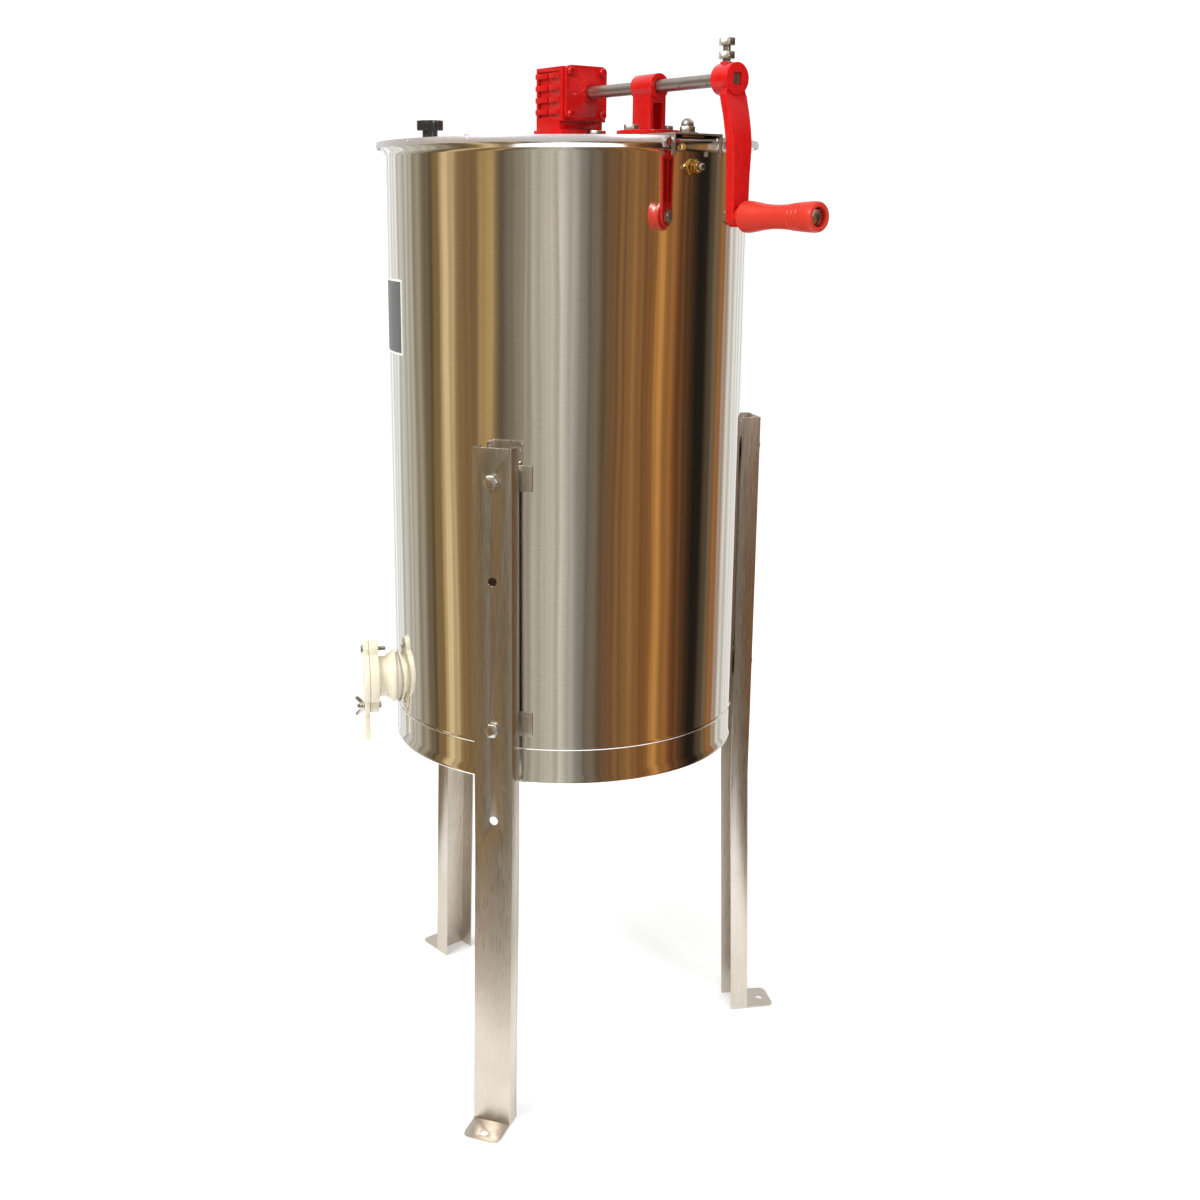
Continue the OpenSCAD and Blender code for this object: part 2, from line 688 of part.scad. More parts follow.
module basket_screens() {
    columns = 8;
    rows = 12;
    color(steel) for (s = [0, 1]) mirror([0, s, 0]) translate([0, basket_in + basket_t - wire, 0]) {
        for (i = [0:columns]) translate([-basket_l / 2 + i * (basket_l - wire) / columns, 0, basket_z])
            cube([wire, wire, basket_h]);
        for (i = [0:rows]) translate([-basket_l / 2, 0, basket_z + i * (basket_h - wire) / rows])
            cube([basket_l, wire, wire]);
    }
}

// ---- Lids ----
module lid_half() {
    fold_half = 176;
    top_z = lid_z + sheet;
    color(steel) difference() {
        union() {
            intersection() {
                rotate_extrude($fn = 180) {
                    translate([0, lid_z]) square([lid_rim_r, sheet]);
                    translate([lid_rim_r - sheet, rim_z - 5]) square([sheet, top_z - rim_z + 5]);
                }
                translate([-200, lid_edge, rim_z - 20]) cube([400, 200, 40]);
            }
            translate([-fold_half, lid_edge, rim_z - 8]) cube([2 * fold_half, sheet, 8.6]);
            for (x = [-ear_x - 2, ear_x]) translate([x, lid_edge, rim_z - 9.2]) cube([2, 6.6, 9.8]);
        }
        // the sheet clears the rim while the lid swings
        for (s = [-1, 1]) translate([s * 184.2 - 4.6, lid_edge - 1, rim_z - 1]) cube([9.2, 8.7, 3]);
        for (s = [-1, 1]) translate([0, hinge_y, hinge_z]) along_x(s * ear_x - 6)
            cylinder(r = pin_r + 0.08, h = 12);
        translate([0, knob_y, rim_z - 1]) cylinder(r = m6, h = 4);
    }
}
module lid_a() { lid_half(); }
module lid_b() { rotate([0, 0, 180]) lid_half(); }
module knob() {
    lobes = 8;
    color(black) translate([0, knob_y, lid_z + sheet]) difference() {
        union() {
            cylinder(r = 7.3, h = 9);
            difference() {
                translate([0, 0, 7.8]) cylinder(r = 12.6, h = 9);
                for (i = [0:lobes - 1]) rotate(i * 360 / lobes) translate([13.6, 0, 7]) cylinder(r = 2.4, h = 12);
            }
        }
        translate([0, 0, -1]) cylinder(r = m6, h = 13);
    }
}
module knob_a() { knob(); }
module knob_b() { rotate([0, 0, 180]) knob(); }
module knob_screw() {
    color(steel) translate([0, knob_y, lid_z]) {
        translate([0, 0, -2.6]) cylinder(r = 5.5, h = 2.6);
        translate([0, 0, -1]) cylinder(r = m6, h = 13);
    }
}
module knob_screw_a() { knob_screw(); }
module knob_screw_b() { rotate([0, 0, 180]) knob_screw(); }

// ---- Gate ----
module gate_plate(low_r) {
    circle(r = collar_r);
    translate([0, pivot_y]) circle(r = 9.4);
    translate([-9.4, 0]) square([18.8, pivot_y]);
    translate([0, clamp_y]) circle(r = low_r);
    translate([-low_r, clamp_y]) square([2 * low_r, -clamp_y]);
}
module gate_body() {
    color(cream) difference() {
        union() {
            on_gate(stub_in) cylinder(r = stub_r, h = plate_in - stub_in + 1);
            on_gate(seal_out) cylinder(r = collar_r, h = 3.5);
            on_gate(seal_out + 3.4) cylinder(r1 = 27, r2 = stub_r + 0.8, h = 6.5);
            on_gate(plate_in) linear_extrude(plate_out - plate_in) gate_plate(8);
        }
        on_gate(stub_in - 1) cylinder(r = throat_r, h = 40);
        on_gate(seal_out + 2) cylinder(r = bore_r, h = 60);
        on_gate(plate_in - 1) translate([0, pivot_y, 0]) cylinder(r = m5, h = 20);
        on_gate(plate_in - 1) translate([0, clamp_y, 0]) cylinder(r = m5, h = 20);
    }
}
module gate_seals() {
    seal_r = 25.5;
    color(cream) {
        // outer washer, saddle-shaped against the wall
        difference() {
            on_gate(drum_r - 3) tube(seal_r, stub_r, seal_out - drum_r + 3);
            cylinder(r = drum_r, h = 600, $fn = 180);
        }
        // inner washer, between the lock nut and the wall
        intersection() {
            on_gate(stub_in + 9) tube(seal_r, stub_r, wall_r - stub_in - 8);
            cylinder(r = wall_r, h = 600, $fn = 180);
        }
    }
}
module gate_lock_nut() {
    color(cream) on_gate(stub_in + 1) difference() {
        cylinder(r = 29, h = 8, $fn = 8);
        translate([0, 0, -1]) cylinder(r = stub_r, h = 10);
    }
}
module gate_screws() {
    color(steel) {
        on_gate(drum_r + 12) translate([0, pivot_y, 0]) cylinder(r = m5, h = shutter_out - drum_r - 11.5);
        on_gate(shutter_out + 0.2) translate([0, pivot_y, 0]) cylinder(r1 = 4.8, r2 = 3.4, h = 2.6);
        on_gate(plate_in - 2.8) translate([0, clamp_y, 0]) cylinder(r1 = 3.4, r2 = 4.6, h = 2.8);
        on_gate(plate_in - 1) translate([0, clamp_y, 0]) cylinder(r = m5, h = 24.5);
    }
}
module gate_shutter() {
    slot_r = 2.8;
    reach = pivot_y - clamp_y;
    lobe_r = 11;
    tail_end = -72.5;
    color(cream) on_gate(shutter_in) linear_extrude(shutter_out - shutter_in) difference() {
        union() {
            gate_plate(lobe_r);
            translate([0, tail_end + 4]) circle(r = 4);
            translate([-4, tail_end + 4]) square([8, 36]);
        }
        translate([0, pivot_y]) circle(r = m5 + fit);
        // open slot that swings clear of the clamp bolt
        translate([0, clamp_y]) circle(r = slot_r);
        intersection() {
            translate([0, pivot_y]) difference() {
                circle(r = reach + slot_r, $fn = 180);
                circle(r = reach - slot_r, $fn = 180);
            }
            translate([-40, -60]) square([40, 60]);
        }
    }
}
module wing_nut() {
    color(steel) on_gate(shutter_out + 0.4) translate([0, clamp_y, 0]) difference() {
        union() {
            cylinder(r = 4.6, h = 5);
            for (m = [0, 1]) mirror([0, m, 0]) rotate([90, 0, 90]) linear_extrude(1.8, center = true)
                polygon([[3.2, 0.6], [6, 1], [11, 6.8], [10.4, 9.6], [8, 9.4], [3.2, 4.4]]);
        }
        translate([0, 0, -1]) cylinder(r = m5 + fit, h = 12);
    }
}

module leg_right() { rotate([0, 0, leg_angles[0]]) leg(); }
module leg_rear() { rotate([0, 0, leg_angles[1]]) leg(); }
module leg_left() { rotate([0, 0, leg_angles[2]]) leg(); }
module upper_brackets() { brackets(bolt_heights[1]); }
module lower_brackets() { brackets(bolt_heights[0]); }

drum_shell();
drum_floor();
pivot_cup();
label_plate();
leg_right();
leg_rear();
leg_left();
upper_brackets();
lower_brackets();
leg_bolts();
leg_nuts();
crossbar();
crossbar_anchors();
anchor_studs();
dome_nuts();
wall_spacers();
wall_screws();
brass_wall_nuts();
lid_hinge_pins();
crossbar_bolts();
crossbar_nuts();
gearbox_housing();
gearbox_cover();
cover_screws();
bearing_pedestal();
input_bushes();
pedestal_bush();
output_bush();
input_shaft();
drive_gear();
crank_arm();
crank_set_screw();
crank_jam_nut();
grip_washer();
grip_bolt();
grip_nut();
handle_grip();
output_shaft();
pinion_gear();
shaft_coupling();
coupling_pins();
reel_shaft();
pivot_ball();
reel_spiders();
basket_a();
basket_b();
basket_screens();
lid_a();
lid_b();
knob_a();
knob_b();
knob_screw_a();
knob_screw_b();
gate_body();
gate_seals();
gate_lock_nut();
gate_screws();
gate_shutter();
wing_nut();
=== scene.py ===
"""Looks of a hand-cranked honey extractor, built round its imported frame. All sizes are metres."""

import logging
import math
from dataclasses import dataclass, field
from enum import Enum
from typing import Optional, Sequence

import bmesh
import bpy
from mathutils import Matrix, Vector


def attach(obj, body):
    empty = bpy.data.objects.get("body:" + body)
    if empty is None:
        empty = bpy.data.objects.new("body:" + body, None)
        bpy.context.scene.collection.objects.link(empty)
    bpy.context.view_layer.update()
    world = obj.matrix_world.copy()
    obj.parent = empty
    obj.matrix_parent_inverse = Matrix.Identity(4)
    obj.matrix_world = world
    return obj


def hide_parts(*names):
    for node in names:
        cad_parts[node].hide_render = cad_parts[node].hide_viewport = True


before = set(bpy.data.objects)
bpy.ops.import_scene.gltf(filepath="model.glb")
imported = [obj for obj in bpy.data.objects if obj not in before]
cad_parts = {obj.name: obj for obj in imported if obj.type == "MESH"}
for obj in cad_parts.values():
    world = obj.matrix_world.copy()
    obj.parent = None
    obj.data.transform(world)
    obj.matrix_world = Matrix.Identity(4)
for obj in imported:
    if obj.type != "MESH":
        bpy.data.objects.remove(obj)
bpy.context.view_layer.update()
LOG = logging.getLogger("honey_extractor")
MM = 0.001
M8_RADIUS = 0.004
M8_ACROSS = 0.013
M8_HEAD = 0.0053
M8_NUT = 0.0065
M5_RADIUS = 0.0025
Colour = tuple[float, float, float]
Profile = Sequence[tuple[float, float]]


def srgb(red: int, green: int, blue: int) -> Colour:
    """Turns a colour from the usual 0 to 255 scale into linear light.

    Args:
        red: Red, 0 to 255.
        green: Green, 0 to 255.
        blue: Blue, 0 to 255.

    Returns:
        The linear colour.
    """
    return tuple(((v / 255 + 0.055) / 1.055) ** 2.4 if v > 10 else v / 3295 for v in (red, green, blue))


# ---------------------------------------------------------------- finishes


class Grain(Enum):
    """Which way the fine lines of a surface run."""

    EVEN = (1.0, 1.0, 1.0)
    ALONG_X = (0.03, 1.0, 1.0)
    ALONG_Z = (1.0, 1.0, 0.03)
    ROUND_Z = (0.0, 0.0, 1.0)


class Graph:
    """A small helper that adds and links the nodes of one material."""

    def __init__(self, name: str) -> None:
        """Makes an empty material with a Principled shader.

        Args:
            name: The material's name.
        """
        self.material = bpy.data.materials.new(name)
        self.material.use_nodes = True
        self.tree = self.material.node_tree
        self.shader = self.tree.nodes["Principled BSDF"]

    def add(self, kind: str, inputs: Optional[dict] = None, **settings: object) -> bpy.types.Node:
        """Adds a node, sets it up and links or fills its inputs.

        Args:
            kind: Blender's node type.
            inputs: Socket names or numbers with a value or an output socket.
            **settings: Properties of the node.

        Returns:
            The new node.
        """
        node = self.tree.nodes.new(kind)
        for key, value in settings.items():
            setattr(node, key, value)
        for key, value in (inputs or {}).items():
            self.feed(node.inputs[key], value)
        return node

    def feed(self, socket: bpy.types.NodeSocket, value: object) -> None:
        """Links an output to a socket, or sets the socket's value.

        Args:
            socket: The socket to fill.
            value: Another node's output, or a plain value.
        """
        if isinstance(value, bpy.types.NodeSocket):
            self.tree.links.new(value, socket)
        else:
            socket.default_value = value

    def math(self, operation: str, a: object, b: object = 0.0) -> bpy.types.NodeSocket:
        """Adds a Math node and returns its output."""
        return self.add("ShaderNodeMath", {0: a, 1: b}, operation=operation).outputs[0]

    def mix(self, share: object, first: object, second: object, blend: str = "MIX") -> bpy.types.NodeSocket:
        """Mixes two colours.

        Args:
            share: How much of the second colour shows, from 0 to 1.
            first: The colour at a share of 0.
            second: The colour at a share of 1.
            blend: Blender's name for the way of mixing.

        Returns:
            The result's socket.
        """
        node = self.add("ShaderNodeMix", data_type="RGBA", blend_type=blend)
        self.feed(node.inputs["Factor"], share)
        for name, value in (("A", first), ("B", second)):
            socket = next(s for s in node.inputs if s.name == name and s.type == "RGBA")
            self.feed(socket, (*value, 1.0) if isinstance(value, tuple) else value)
        return next(s for s in node.outputs if s.type == "RGBA")

    def noise(self, where: object, scale: float, detail: float = 3.0, roughness: float = 0.55) -> object:
        """Adds a noise texture.

        Args:
            where: Socket of the coordinates.
            scale: How fine the noise is.
            detail: How many finer layers it has.
            roughness: How strongly the finer layers show.

        Returns:
            Its value's socket.
        """
        inputs = {"Vector": where, "Scale": scale, "Detail": detail, "Roughness": roughness}
        return self.add("ShaderNodeTexNoise", inputs).outputs[0]

    def remap(self, value: object, low: float, high: float, to_low: float, to_high: float) -> object:
        """Maps a range of values to another, held at its ends.

        Args:
            value: The value's socket.
            low: Start of the first range.
            high: End of the first range.
            to_low: What the start becomes.
            to_high: What the end becomes.

        Returns:
            The new value's socket.
        """
        inputs = {0: value, 1: low, 2: high, 3: to_low, 4: to_high}
        return self.add("ShaderNodeMapRange", inputs, clamp=True).outputs[0]

    def place(self) -> bpy.types.NodeSocket:
        """Returns the socket of Object coordinates."""
        return self.add("ShaderNodeTexCoord").outputs["Object"]

    def grained(self, place: object, grain: Grain) -> bpy.types.NodeSocket:
        """Stretches the coordinates along the grain.

        Args:
            place: Object coordinates.
            grain: The grain's direction.

        Returns:
            The stretched coordinates.
        """
        if grain is Grain.ROUND_Z:
            parts = self.add("ShaderNodeSeparateXYZ", {0: place}).outputs
            turn = self.math("ARCTAN2", parts[1], parts[0])
            reach = self.math("SQRT", self.math("ADD", self.math("POWER", parts[0], 2.0),
                                                self.math("POWER", parts[1], 2.0)))
            lap = self.math("MULTIPLY", turn, 0.006)
            return self.add("ShaderNodeCombineXYZ", {0: lap, 1: reach, 2: parts[2]}).outputs[0]
        return self.add("ShaderNodeMapping", {"Vector": place, "Scale": grain.value}).outputs[0]


@dataclass(frozen=True)
class Finish:
    """One surface finish with its colours, gloss, grain, wear and relief."""

    name: str
    colour: Colour
    second: Colour
    metallic: float = 1.0
    gloss: tuple[float, float] = (0.2, 0.35)
    grain: Grain = Grain.EVEN
    grain_scale: float = 900.0
    relief: float = 0.1
    relief_depth: float = 0.0001
    waves: float = 0.0
    mottle_scale: float = 14.0
    spots: Optional[Colour] = None
    spot_scale: float = 90.0
    spot_start: float = 0.66
    coat: float = 0.0
    specular: float = 0.5

    def make(self) -> bpy.types.Material:
        """Builds the finish's material.

        Returns:
            The material.
        """
        graph = Graph(self.name)
        place = graph.place()
        lines = graph.noise(graph.grained(place, self.grain), self.grain_scale, 4.0, 0.6)
        mottle = graph.noise(place, self.mottle_scale, 5.0, 0.6)
        colour = graph.mix(graph.remap(mottle, 0.3, 0.7, 0.0, 1.0), self.colour, self.second)
        shade = graph.remap(lines, 0.3, 0.7, 0.90, 1.06)
        tone = graph.add("ShaderNodeCombineColor", {0: shade, 1: shade, 2: shade}).outputs[0]
        colour = graph.mix(1.0, colour, tone, "MULTIPLY")
        rough = graph.remap(lines, 0.3, 0.7, self.gloss[0], self.gloss[1])
        rough = graph.math("ADD", rough, graph.remap(mottle, 0.35, 0.7, 0.0, 0.06))
        if self.spots is not None:
            colour, rough = self._wear(graph, place, colour, rough)
        graph.feed(graph.shader.inputs["Base Color"], colour)
        graph.feed(graph.shader.inputs["Roughness"], rough)
        graph.shader.inputs["Metallic"].default_value = self.metallic
        graph.shader.inputs["Coat Weight"].default_value = self.coat
        graph.shader.inputs["Coat Roughness"].default_value = 0.08
        graph.shader.inputs["Specular IOR Level"].default_value = self.specular
        graph.feed(graph.shader.inputs["Normal"], self._relief(graph, place, lines))
        return graph.material

    def _wear(self, graph: Graph, place: object, colour: object, rough: object) -> tuple[object, object]:
        """Adds small worn or stained patches.

        Args:
            graph: The material's nodes.
            place: Socket of the coordinates.
            colour: Socket of the colour so far.
            rough: Socket of the roughness so far.

        Returns:
            The new colour and the new roughness.
        """
        patch = graph.remap(graph.noise(place, self.spot_scale, 6.0, 0.7), self.spot_start,
                            self.spot_start + 0.06, 0.0, 1.0)
        worn = graph.mix(patch, colour, self.spots)
        return worn, graph.math("ADD", rough, graph.math("MULTIPLY", patch, 0.18))

    def _relief(self, graph: Graph, place: object, lines: object) -> bpy.types.NodeSocket:
        """Adds the fine relief over the sheet's slow waves.

        Args:
            graph: The material's nodes.
            place: Socket of the coordinates.
            lines: Socket of the relief's height.

        Returns:
            The normal's socket.
        """
        inputs = {"Height": lines, "Strength": self.relief, "Distance": self.relief_depth}
        if self.waves:
            swell = graph.noise(graph.add("ShaderNodeMapping", {"Vector": place, "Scale": (1, 1, 0.25)})
                                .outputs[0], 9.0, 2.0, 0.4)
            under = graph.add("ShaderNodeBump", {"Height": swell, "Strength": 1.0, "Distance": self.waves})
            inputs["Normal"] = under.outputs[0]
        return graph.add("ShaderNodeBump", inputs).outputs[0]


@dataclass(frozen=True)
class LabelFinish(Finish):
    """A plain dark label with a pale border, on the drum's round wall."""

    border: Colour = (0.6, 0.6, 0.58)
    heading: float = math.radians(-118)
    half_arc: float = math.radians(17.5)
    low: float = 0.782
    high: float = 0.857
    edge: float = 0.0022
    radius: float = 0.185

    def make(self) -> bpy.types.Material:
        """Builds the label's material, with its border placed by height and by angle."""
        graph = Graph(self.name)
        place = graph.place()
        facing = graph.add("ShaderNodeMapping", {"Vector": place, "Rotation": (0, 0, -self.heading)})
        parts = graph.add("ShaderNodeSeparateXYZ", {0: facing.outputs[0]}).outputs
        angle = graph.math("ABSOLUTE", graph.math("ARCTAN2", parts[1], parts[0]))
        middle = (self.low + self.high) / 2
        rise = graph.math("ABSOLUTE", graph.math("SUBTRACT", parts[2], middle))
        at_side = graph.math("GREATER_THAN", angle, self.half_arc - self.edge / self.radius)
        at_end = graph.math("GREATER_THAN", rise, self.high - middle - self.edge)
        border = graph.math("MAXIMUM", at_side, at_end)
        grain = graph.noise(place, self.grain_scale, 4.0, 0.6)
        printed = graph.mix(graph.remap(grain, 0.3, 0.7, 0.0, 1.0), self.colour, self.second)
        graph.feed(graph.shader.inputs["Base Color"], graph.mix(border, printed, self.border))
        graph.feed(graph.shader.inputs["Roughness"], graph.remap(grain, 0.3, 0.7, *self.gloss))
        graph.shader.inputs["Coat Weight"].default_value = self.coat
        inputs = {"Height": grain, "Strength": self.relief, "Distance": self.relief_depth}
        graph.feed(graph.shader.inputs["Normal"], graph.add("ShaderNodeBump", inputs).outputs[0])
        return graph.material


RED = srgb(194, 14, 15)
FINISHES: dict[str, Finish] = {
    "polished_steel": Finish("polished_steel", (0.95, 0.94, 0.92), (0.90, 0.89, 0.86), gloss=(0.03, 0.07),
                             grain=Grain.ROUND_Z, grain_scale=2600.0, relief=0.05, relief_depth=0.00004,
                             waves=0.0012, mottle_scale=5.0, spots=(0.62, 0.59, 0.54), spot_scale=260.0,
                             spot_start=0.76),
    "drum_floor_steel": Finish("drum_floor_steel", (0.74, 0.73, 0.70), (0.66, 0.65, 0.62), gloss=(0.2, 0.34),
                               grain=Grain.ROUND_Z, grain_scale=1500.0, relief=0.1),
    "label": LabelFinish("label", srgb(86, 84, 84), srgb(74, 72, 73), metallic=0.0, gloss=(0.35, 0.5),
                         grain_scale=1600.0, relief=0.08, coat=0.15, border=srgb(214, 214, 210)),
    "leg_steel": Finish("leg_steel", (0.64, 0.59, 0.52), (0.56, 0.50, 0.43), gloss=(0.22, 0.33),
                        grain=Grain.ALONG_Z, grain_scale=1300.0, relief=0.16, mottle_scale=11.0,
                        spots=(0.60, 0.52, 0.43), spot_scale=42.0, spot_start=0.66),
    "lid_steel": Finish("lid_steel", (0.80, 0.78, 0.81), (0.74, 0.72, 0.75), metallic=0.8, gloss=(0.30, 0.42),
                        grain=Grain.ALONG_X, grain_scale=1500.0, relief=0.08, waves=0.0008),
    "bar_steel": Finish("bar_steel", (0.62, 0.60, 0.57), (0.52, 0.50, 0.47), gloss=(0.26, 0.4),
                        grain=Grain.ALONG_X, grain_scale=1400.0, relief=0.14),
    "fastener_steel": Finish("fastener_steel", (0.66, 0.64, 0.60), (0.56, 0.54, 0.50), gloss=(0.16, 0.3),
                             grain_scale=2200.0, relief=0.12, spots=(0.40, 0.36, 0.30), spot_scale=300.0),
    "brass": Finish("brass", srgb(214, 172, 96), srgb(190, 146, 74), gloss=(0.18, 0.3), grain_scale=2200.0,
                    relief=0.1, spots=srgb(120, 86, 44), spot_scale=330.0),
    "red_casting": Finish("red_casting", RED, srgb(180, 12, 14), metallic=0.0, gloss=(0.2, 0.28),
                          grain_scale=190.0, relief=0.09, relief_depth=0.0002, mottle_scale=24.0,
                          coat=0.6, specular=0.2),
    "bronze": Finish("bronze", srgb(176, 128, 66), srgb(146, 102, 50), gloss=(0.28, 0.42), grain_scale=1800.0,
                     relief=0.12),
    "shaft_steel": Finish("shaft_steel", (0.50, 0.47, 0.44), (0.38, 0.35, 0.32), gloss=(0.26, 0.42),
                          grain=Grain.ALONG_X, grain_scale=1900.0, relief=0.15,
                          spots=(0.30, 0.22, 0.16), spot_scale=160.0, spot_start=0.6),
    "gear_steel": Finish("gear_steel", (0.44, 0.43, 0.42), (0.34, 0.33, 0.32), gloss=(0.24, 0.4),
                         grain_scale=900.0, relief=0.18, spots=srgb(96, 74, 40), spot_scale=120.0,
                         spot_start=0.58),
    "grip_plastic": Finish("grip_plastic", srgb(192, 46, 28), srgb(184, 40, 24), metallic=0.0,
                           gloss=(0.32, 0.44), grain_scale=900.0, relief=0.06, mottle_scale=40.0,
                           spots=srgb(184, 30, 16), spot_scale=160.0, spot_start=0.78, coat=0.12,
                           specular=0.35),
    "reel_steel": Finish("reel_steel", (0.74, 0.73, 0.70), (0.64, 0.63, 0.60), gloss=(0.22, 0.36),
                         grain=Grain.ALONG_Z, grain_scale=1500.0, relief=0.12),
    "black_plastic": Finish("black_plastic", (0.012, 0.012, 0.013), (0.022, 0.022, 0.023), metallic=0.0,
                            gloss=(0.22, 0.36), grain_scale=1300.0, relief=0.12, coat=0.3),
    "gate_plastic": Finish("gate_plastic", srgb(226, 219, 196), srgb(217, 209, 184), metallic=0.0,
                           gloss=(0.26, 0.38), grain_scale=900.0, relief=0.1, mottle_scale=34.0,
                           spots=srgb(222, 212, 184), spot_scale=150.0, spot_start=0.68, coat=0.2),
    "seal_rubber": Finish("seal_rubber", srgb(226, 221, 206), srgb(216, 210, 192), metallic=0.0,
                          gloss=(0.5, 0.65), grain_scale=700.0, relief=0.2),
    "weld_steel": Finish("weld_steel", (0.52, 0.48, 0.43), (0.40, 0.34, 0.28), gloss=(0.4, 0.55),
                         grain_scale=700.0, relief=0.3, spots=(0.30, 0.24, 0.2), spot_scale=200.0),
}


class FinishRack:
    """Makes each finish's material once and hands it out."""

    def __init__(self) -> None:
        """Starts with no material made."""
        self._made: dict[str, bpy.types.Material] = {}

    def get(self, name: str) -> bpy.types.Material:
        """Returns the material of that finish, made on first use."""
        if name not in self._made:
            self._made[name] = FINISHES[name].make()
        return self._made[name]


RACK = FinishRack()


# ---------------------------------------------------------------- making pieces


def lathe(profile: Profile, steps: int = 64, closed: bool = True) -> bmesh.types.BMesh:
    """Turns a profile about Z.

    Args:
        profile: Radius and height of each corner, in order.
        steps: Faces round the full turn.
        closed: True if the profile's last corner joins its first.

    Returns:
        The turned shape, with outward faces.
    """
    bm = bmesh.new()
    verts = [bm.verts.new((max(r, 0.0), 0.0, z)) for r, z in profile]
    edges = [bm.edges.new(pair) for pair in zip(verts, verts[1:])]
    if closed:
        edges.append(bm.edges.new((verts[-1], verts[0])))
    bmesh.ops.spin(bm, geom=verts + edges, cent=(0, 0, 0), axis=(0, 0, 1), angle=math.tau, steps=steps,
                   use_merge=True)
    bmesh.ops.remove_doubles(bm, verts=bm.verts, dist=0.000002)
    loose = [f for f in bm.faces if f.calc_area() < 1e-13]
    bmesh.ops.delete(bm, geom=loose, context="FACES_ONLY")
    bmesh.ops.recalc_face_normals(bm, faces=bm.faces)
    return bm


def turned(profile: Profile, steps: int = 48) -> bmesh.types.BMesh:
    """Turns a solid whose profile starts and ends on the axis."""
    return lathe(profile, steps, closed=False)


def hex_block(across: float, height: float, chamfer: float = 0.0009) -> bmesh.types.BMesh:
    """Makes a hexagonal head or nut standing on z 0, with its top corners chamfered.

    Args:
        across: Size over the flats.
        height: Height of the block.
        chamfer: Width of the chamfer round the top face.

    Returns:
        The block.
    """
    bm = bmesh.new()
    radius = across / math.sqrt(3)
    bmesh.ops.create_cone(bm, cap_ends=True, segments=6, radius1=radius, radius2=radius, depth=height)
    bmesh.ops.translate(bm, verts=bm.verts, vec=(0, 0, height / 2))
    sides = [e for e in bm.edges if abs(e.verts[0].co.z - e.verts[1].co.z) > height / 2]
    bmesh.ops.bevel(bm, geom=sides, offset=0.0003, offset_type="OFFSET", segments=2, profile=0.5,
                    affect="EDGES", material=-1)
    top = [e for e in bm.edges if all(v.co.z > height - 1e-6 for v in e.verts)]
    bmesh.ops.bevel(bm, geom=top, offset=chamfer, offset_type="OFFSET", segments=2, profile=0.5,
                    affect="EDGES", material=-1)
    return bm


def threaded(radius: float, length: float, pitch: float = 0.00125) -> bmesh.types.BMesh:
    """Makes a threaded end along Z from z 0, with a chamfered tip.

    Args:
        radius: Outer radius of the thread.
        length: Length of the thread.
        pitch: Distance between two crests.

    Returns:
        The threaded rod.
    """
    depth = 0.6 * pitch
    count = max(2, int(length / pitch))
    step = length / count
    profile = [(0.0, 0.0), (radius - depth, 0.0)]
    for i in range(count):
        profile += [(radius, (i + 0.35) * step), (radius - depth, (i + 0.9) * step)]
    profile += [(radius - depth, length), (0.0, length)]
    return turned(profile, 32)


def merged(*parts: bmesh.types.BMesh) -> bmesh.types.BMesh:
    """Puts several shapes into one, each still a closed shape of its own.

    Args:
        *parts: The shapes, which are freed.

    Returns:
        The one shape.
    """
    whole = bmesh.new()
    for part in parts:
        mesh = bpy.data.meshes.new("part")
        part.to_mesh(mesh)
        whole.from_mesh(mesh)
        bpy.data.meshes.remove(mesh)
        part.free()
    return whole


def placed(bm: bmesh.types.BMesh, matrix: Matrix) -> bmesh.types.BMesh:
    """Moves a shape by a matrix and returns it."""
    bmesh.ops.transform(bm, matrix=matrix, verts=bm.verts)
    return bm


def shift(x: float = 0.0, y: float = 0.0, z: float = 0.0) -> Matrix:
    """Returns the matrix of a move."""
    return Matrix.Translation((x, y, z))


def spin_z(degrees: float) -> Matrix:
    """Returns the matrix of a turn about Z."""
    return Matrix.Rotation(math.radians(degrees), 4, "Z")


ALONG_X = Matrix.Rotation(math.radians(90), 4, "Y")


